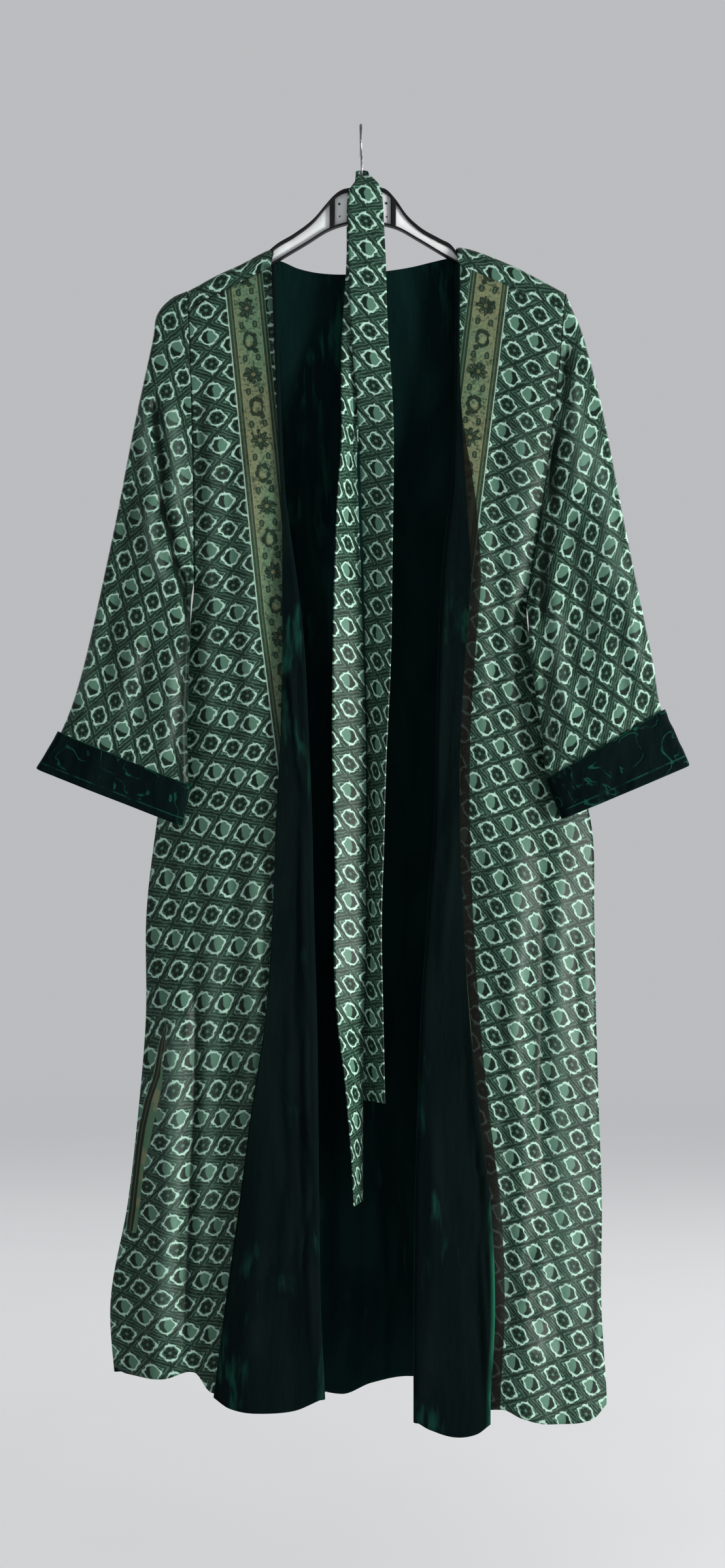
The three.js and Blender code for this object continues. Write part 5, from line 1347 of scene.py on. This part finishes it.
    # painted highlights along the turned-back edge and along the lip near the mouth
    to_edge = np.where(off > 1.0, (w - (n - 1)) * CUFF_DEPTH, 200.0)
    uvs = {"print": pack_uv(P[..., 0], P[..., 2]), "edge": pack_uv(to_edge, np.where(off > 1.0, to_edge - (CUFF_DEPTH - 9.0), 200.0))}
    r, c = P.shape[0] - 10, P.shape[1] // 4
    raw = normals(P)
    sign = 1.0 if (raw[r, c] * NN[r, c]).sum() > 0 else -1.0
    Nn = raw * sign
    lo, hi = P - Nn * 0.55, P + Nn * 0.55
    R_, C_ = P.shape[:2]
    idx = np.arange(R_ * C_).reshape(R_, C_)
    qd = np.stack([idx[:-1, :-1], idx[:-1, 1:], idx[1:, 1:], idx[1:, :-1]], -1).reshape(-1, 4)
    nn = R_ * C_
    top = qd + nn if sign > 0 else qd[:, ::-1] + nn
    bottom = qd[:, ::-1] if sign > 0 else qd
    loop = np.concatenate([idx[0, :], idx[1:, -1], idx[-1, -2::-1], idx[-2:0:-1, 0]])
    nxt = np.roll(loop, -1)
    rim = np.stack([loop, nxt, nxt + nn, loop + nn], -1)
    if sign < 0:
        rim = rim[:, ::-1]
    co = np.concatenate([lo.reshape(-1, 3), hi.reshape(-1, 3)])
    layers = {k2: np.concatenate([x2.reshape(-1, 2)] * 2) for k2, x2 in uvs.items()}
    o = make_object(f"cuff_{hand}_velvet_cloth", co, np.concatenate([top, bottom, rim]), len(rim), layers, VELVET_CUFF)
    declare(o, f"cuff_{hand}", (0.31, 0.115), "folded", [f"sleeve_{hand}_silk"], None)

# ---- belt
BELT_RIGHT = BELT_RIGHT[:-2] + [dict(x=3.6, y=-8.6, z=-107.8, width=38, turn=0), dict(x=2.6, y=-8.0, z=-84.4, width=35, turn=0)]
BELT_LEFT = BELT_LEFT[:-2] + [dict(x=5.6, y=-12.5, z=-108.7, width=39, turn=0), dict(x=5.4, y=-12.2, z=-85.4, width=37, turn=0)]
SADDLE = [  # gathered to a point as it passes behind the wire
    dict(x=3.0, y=-6.8, z=-68, width=31, turn=0, tilt=0),
    dict(x=1.4, y=-5.8, z=-60, width=19, turn=0, tilt=6),
    dict(x=-1.8, y=-3.8, z=-54.4, width=9, turn=0, tilt=35),
    dict(x=-3.0, y=-0.4, z=-51.2, width=7, turn=0, tilt=62),
    dict(x=1.3, y=3.0, z=-49.0, width=6, turn=0, tilt=90),
    dict(x=5.6, y=-0.4, z=-51.2, width=7, turn=0, tilt=118),
    dict(x=4.9, y=-4.2, z=-54.4, width=9, turn=0, tilt=146),
    dict(x=5.2, y=-7.8, z=-60, width=20, turn=0, tilt=174),
    dict(x=5.4, y=-11.0, z=-68, width=32, turn=0, tilt=180),
]
belt_rows = [dict(r, tilt=0) for r in BELT_RIGHT] + SADDLE + [dict(r, tilt=180) for r in reversed(BELT_LEFT)]
keys = ("x", "y", "z", "width", "turn", "tilt")
K = np.array([[r[k] for k in keys] for r in belt_rows], float)
run = np.concatenate([[0], np.cumsum(np.linalg.norm(np.diff(K[:, :3], axis=0), axis=1))])
fine = np.unique(np.concatenate([np.linspace(run[i], run[i + 1], max(2, int((run[i + 1] - run[i]) / 3.2) + 1)) for i in range(len(run) - 1)]))


def spline(xs, ys, t):
    m = np.empty(len(xs))
    m[1:-1] = (ys[2:] - ys[:-2]) / (xs[2:] - xs[:-2])
    m[0], m[-1] = (ys[1] - ys[0]) / (xs[1] - xs[0]), (ys[-1] - ys[-2]) / (xs[-1] - xs[-2])
    i = np.clip(np.searchsorted(xs, t, side="right") - 1, 0, len(xs) - 2)
    h = xs[i + 1] - xs[i]
    f = (t - xs[i]) / h
    f2, f3 = f * f, f ** 3
    return (2 * f3 - 3 * f2 + 1) * ys[i] + (f3 - 2 * f2 + f) * m[i] * h + (-2 * f3 + 3 * f2) * ys[i + 1] + (f3 - f2) * m[i + 1] * h


C = np.stack([spline(run, K[:, k], fine) for k in range(6)], -1)
centre = C[:, :3]
tangent = np.gradient(centre, axis=0)
tangent /= np.linalg.norm(tangent, axis=1, keepdims=True)
tr, tl = np.radians(C[:, 4]), np.radians(C[:, 5])
across = np.stack([np.cos(tl) * np.cos(tr), np.cos(tl) * np.sin(tr), -np.sin(tl)], -1)
across -= tangent * (across * tangent).sum(1, keepdims=True)
across /= np.linalg.norm(across, axis=1, keepdims=True)
through = np.cross(tangent, across)
through /= np.linalg.norm(through, axis=1, keepdims=True)
ks = np.linspace(-1, 1, 17)
kk, ff = np.meshgrid(ks, fine)
half_w = C[:, 3][:, None] / 2
ripple = 0.35 * np.sin(ff * 0.045 + kk * 1.3) + 0.22 * np.sin(ff * 0.11 - kk * 2.1 + 1.0)
bow = ripple * (1 - kk ** 2)
P = centre[:, None, :] + across[:, None, :] * (kk * half_w)[..., None] + through[:, None, :] * bow[..., None]
N = normals(P)
r_mid = 40
# a flower lies on the front strand, 166 mm below the hook's rest
front_strand = (fine > run[len(BELT_RIGHT) + len(SADDLE) - 1])
mark = fine[np.argmin(np.abs(centre[:, 2] + 166.3) + 1e6 * ~front_strand)]
across_mm = kk * half_w
uvs = {"print": pack_uv(across_mm + 22.8 * 40, (mark - ff) * 0.985 - 0.342 * across_mm - 10.6 * 40 + 29.4 * 60), "painted_light": painted_light_uv(0 * kk)}
wall = 0.55 + 0.25 * (1 - np.abs(kk) ** 8)
# the tube's own edges are rounded: the wall thins towards both long edges
lo, hi = P - N * wall[..., None], P + N * wall[..., None]
R_, C_ = P.shape[:2]
idx = np.arange(R_ * C_).reshape(R_, C_)
qd = np.stack([idx[:-1, :-1], idx[:-1, 1:], idx[1:, 1:], idx[1:, :-1]], -1).reshape(-1, 4)
nn = R_ * C_
loop = np.concatenate([idx[0, :], idx[1:, -1], idx[-1, -2::-1], idx[-2:0:-1, 0]])
nxt = np.roll(loop, -1)
rim = np.stack([loop, nxt, nxt + nn, loop + nn], -1)
# two layers of silk face each other inside, all the way to the turned edges and the closed ends
Pi, Ni = P[1:-1, 1:-1], N[1:-1, 1:-1]
inner_lo, inner_hi = Pi - Ni * 0.08, Pi + Ni * 0.08
ri, ci = Pi.shape[:2]
idi = np.arange(ri * ci).reshape(ri, ci)
qi = np.stack([idi[:-1, :-1], idi[:-1, 1:], idi[1:, 1:], idi[1:, :-1]], -1).reshape(-1, 4)
ni = ri * ci
li = np.concatenate([idi[0, :], idi[1:, -1], idi[-1, -2::-1], idi[-2:0:-1, 0]])
lj = np.roll(li, -1)
rim_in = np.stack([li, lj, lj + ni, li + ni], -1)[:, ::-1] + 2 * nn
layers = {k2: np.concatenate([x2.reshape(-1, 2)] * 2 + [x2[1:-1, 1:-1].reshape(-1, 2)] * 2) for k2, x2 in uvs.items()}
points = np.concatenate([lo.reshape(-1, 3), hi.reshape(-1, 3), inner_lo.reshape(-1, 3), inner_hi.reshape(-1, 3)])
o = make_object("belt_cloth", points, np.concatenate([qd + nn, qd[:, ::-1], (qi + ni)[:, ::-1] + 2 * nn, qi + 2 * nn, rim_in, rim]), len(rim) + len(rim_in), layers, SILK_BELT)
declare(o, "belt", (0.082, 2.16), "folded", ["hanger_hook"], None)

# ------------------------------------------------------------------ hanger
HANGER_HALF_DEPTH, WEB_HALF = 5.0, 2.0
ARM_TOP = [(-209.3, -201.6), (-186.5, -187.4), (-154.5, -169.2), (-131, -157.9), (-108, -144.5), (-100.5, -136.0), (-94, -130.2), (-71.9, -116.5), (-49.8, -99), (-38, -85), (-29.9, -75.9),
           (-21.3, -69.6), (-10, -67.0), (2.9, -66.4), (16, -66.8), (27.1, -68.6), (37.8, -79.5), (49.1, -95.6), (62.7, -108.6), (86.2, -122.6), (99, -130.0), (105, -137.5), (114, -142.0), (130.3, -146.6),
           (162.4, -158.4), (202.2, -179.0), (212.4, -186.7)]
ARM_UNDER = [(-206.5, -213.2), (-178, -198.2), (-131, -171.8), (-96.1, -150.2), (-60.5, -129.0), (-32.7, -112.2), (-15.6, -106.6), (2.9, -103.8), (24.9, -107.2), (39.9, -111.6), (62.7, -124.3),
             (94, -142.8), (113.9, -153.2), (162.4, -172.6), (198, -191.8), (209.3, -200.4)]


def smooth_line(points, xs):
    px = np.array([q[0] for q in points], float)
    pz = np.array([q[1] for q in points], float)
    m = np.gradient(pz, px)
    i = np.clip(np.searchsorted(px, xs, side="right") - 1, 0, len(px) - 2)
    h = px[i + 1] - px[i]
    f = (xs - px[i]) / h
    f2, f3 = f * f, f ** 3
    return (2 * f3 - 3 * f2 + 1) * pz[i] + (f3 - 2 * f2 + f) * m[i] * h + (-2 * f3 + 3 * f2) * pz[i + 1] + (f3 - f2) * m[i + 1] * h


def moulding(xs, upper, lower, half, round_by):
    """a bar between two lines across the hanger, its long edges rounded"""
    offsets = ((0.0, -half + round_by), (round_by * 0.3, -half + round_by * 0.3), (round_by, -half))
    ring = []
    for inset, y in offsets:
        ring.append((upper - inset, y))
    for inset, y in reversed(offsets):
        ring.append((lower + inset, y))
    for inset, y in offsets:
        ring.append((lower + inset, -y))
    for inset, y in reversed(offsets):
        ring.append((upper - inset, -y))
    n, k = len(xs), len(ring)
    co = np.zeros((n, k, 3))
    for j, (zz, y) in enumerate(ring):
        co[:, j, 0], co[:, j, 1], co[:, j, 2] = xs, y, zz
    quads = []
    for i in range(n - 1):
        for j in range(k):
            a, b = i * k + j, i * k + (j + 1) % k
            quads.append((a, b, b + k, a + k))
    ends = 0
    for first in (0, (n - 1) * k):
        for j in range(k // 2 - 1):
            q = (first + j, first + (k - 1 - j), first + (k - 2 - j), first + j + 1)
            quads.append(q if first == 0 else q[::-1])
            ends += 1
    return co.reshape(-1, 3), quads, ends


def joined(name, parts, material):
    co, quads, flat, shift = [], [], [], 0
    for c, q, e in parts:
        body = np.array(q[:len(q) - e]) + shift
        cap = np.array(q[len(q) - e:]) + shift
        quads.append(body)
        flat.append(cap)
        co.append(c)
        shift += len(c)
    allq = np.concatenate(quads + flat)
    o = make_object(name, np.concatenate(co), allq, sum(len(f) for f in flat), {}, material)
    import bmesh
    bm = bmesh.new()
    bm.from_mesh(o.data)
    bmesh.ops.recalc_face_normals(bm, faces=bm.faces)
    bm.to_mesh(o.data)
    bm.free()
    return o


xs = np.linspace(-205.5, 208.5, 180)
upper, under = smooth_line(ARM_TOP, xs), smooth_line(ARM_UNDER, xs)
room = np.maximum(upper - under, 4.0)
top_bar = np.minimum(4.6, room * 0.42)
under_bar = np.minimum(2.2, room * 0.24)
HALF = HANGER_HALF_DEPTH
rim_parts = [moulding(xs, upper, upper - top_bar, HALF, 0.9), moulding(xs, under + under_bar, under, HALF, 0.6)]
for rx in (-31.0, 35.4):
    rxs = np.linspace(rx - 2.9, rx + 2.9, 5)
    rim_parts.append(moulding(rxs, smooth_line(ARM_TOP, rxs) - 1.2, smooth_line(ARM_UNDER, rxs) + 0.6, HALF - 0.05, 0.7))
for dx, dz in ((-23.5, -84.4), (27.8, -83.7), (-23.0, -98.0), (28.4, -98.5)):
    r = 1.25 if dz > -90 else 0.8
    for way_y in (-1.0,):
        dxs = dx + r * np.linspace(-1, 1, 9)
        tall = r * np.sqrt(np.maximum(1 - np.linspace(-1, 1, 9) ** 2, 0.02))
        c, q, e = moulding(dxs, dz + tall, dz - tall, 0.5, 0.1)
        c[:, 1] += way_y * (WEB_HALF + 0.25)
        rim_parts.append((c, q, e))
black = plastic("plastic_black", srgb(10, 11, 12), 0.42, 0.25)
grey = plastic("plastic_grey", srgb(212, 216, 216), 0.36, 0.2)
rim_piece = joined("hanger_rim_moulded", rim_parts, black)
web_piece = joined("hanger_web_moulded", [moulding(xs, upper - top_bar + 0.4, under + under_bar - 0.4, WEB_HALF, 0.3)], grey)
for o, node, slot_name in ((rim_piece, "hanger_rim", "hanger_black"), (web_piece, "hanger_web", "hanger_grey")):
    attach(o, "root")
    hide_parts(node)
mat = steel("wire_steel")
ob = frame["nodes"]["hanger_hook"]
ob = ob if hasattr(ob, "data") else bpy.data.objects[ob] if isinstance(ob, str) else bpy.data.objects.get("hanger_hook")
for slot_index in range(len(ob.material_slots)):
    ob.material_slots[slot_index].material = mat

# ------------------------------------------------------------------ floor
m, bsdf = material("studio_floor")
speckle = noise(3.0, 3.0)
link(mix((0.80, 0.80, 0.80, 1.0), (0.76, 0.765, 0.775, 1.0), speckle), bsdf.inputs["Base Color"])
bsdf.inputs["Roughness"].default_value = 0.9
bsdf.inputs["Specular IOR Level"].default_value = 0.1
# far off the floor takes the tone of the surroundings
fx, fy, _ = split(m.node_tree.nodes.new("ShaderNodeTexCoord").outputs["Object"])
far = step((fx.pow(2.0) + fy.pow(2.0)).sqrt(), 1.2, 5.0)
glow = m.node_tree.nodes.new("ShaderNodeEmission")
glow.inputs["Color"].default_value = (0.80, 0.815, 0.84, 1.0)
glow.inputs["Strength"].default_value = WORLD_STRENGTH
blend = m.node_tree.nodes.new("ShaderNodeMixShader")
link(far, blend.inputs[0])
m.node_tree.links.new(bsdf.outputs[0], blend.inputs[1])
m.node_tree.links.new(glow.outputs[0], blend.inputs[2])
m.node_tree.links.new(blend.outputs[0], m.node_tree.nodes["Material Output"].inputs[0])
floor_mesh = bpy.data.meshes.new("floor")
F, H = 40.0, -1.62
floor_mesh.from_pydata([(-F, -F, H), (F, -F, H), (F, F, H), (-F, F, H)], [], [(0, 1, 2, 3)])
floor_mesh.materials.append(m)
floor = bpy.data.objects.new("floor", floor_mesh)
scene.collection.objects.link(floor)

# ------------------------------------------------------------------ the cut of each sheet
for node, (o, flat, held, rests, area) in flat_sizes.items():
    rests = [r for r in rests]
    surface = sum(f.area for f in o.data.polygons) / 2
    print("SHEET", node, flat, area, "cloth", round(surface, 4), "ratio", round(surface / (area or flat[0] * flat[1]), 3), "tris", 2 * len(o.data.polygons))

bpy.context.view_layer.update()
total = sum(sum(len(f.vertices) - 2 for f in ob.data.polygons) for ob in bpy.data.objects if ob.type == "MESH" and ob.visible_get() and not ob.hide_render)
print("TOTAL triangles", total)
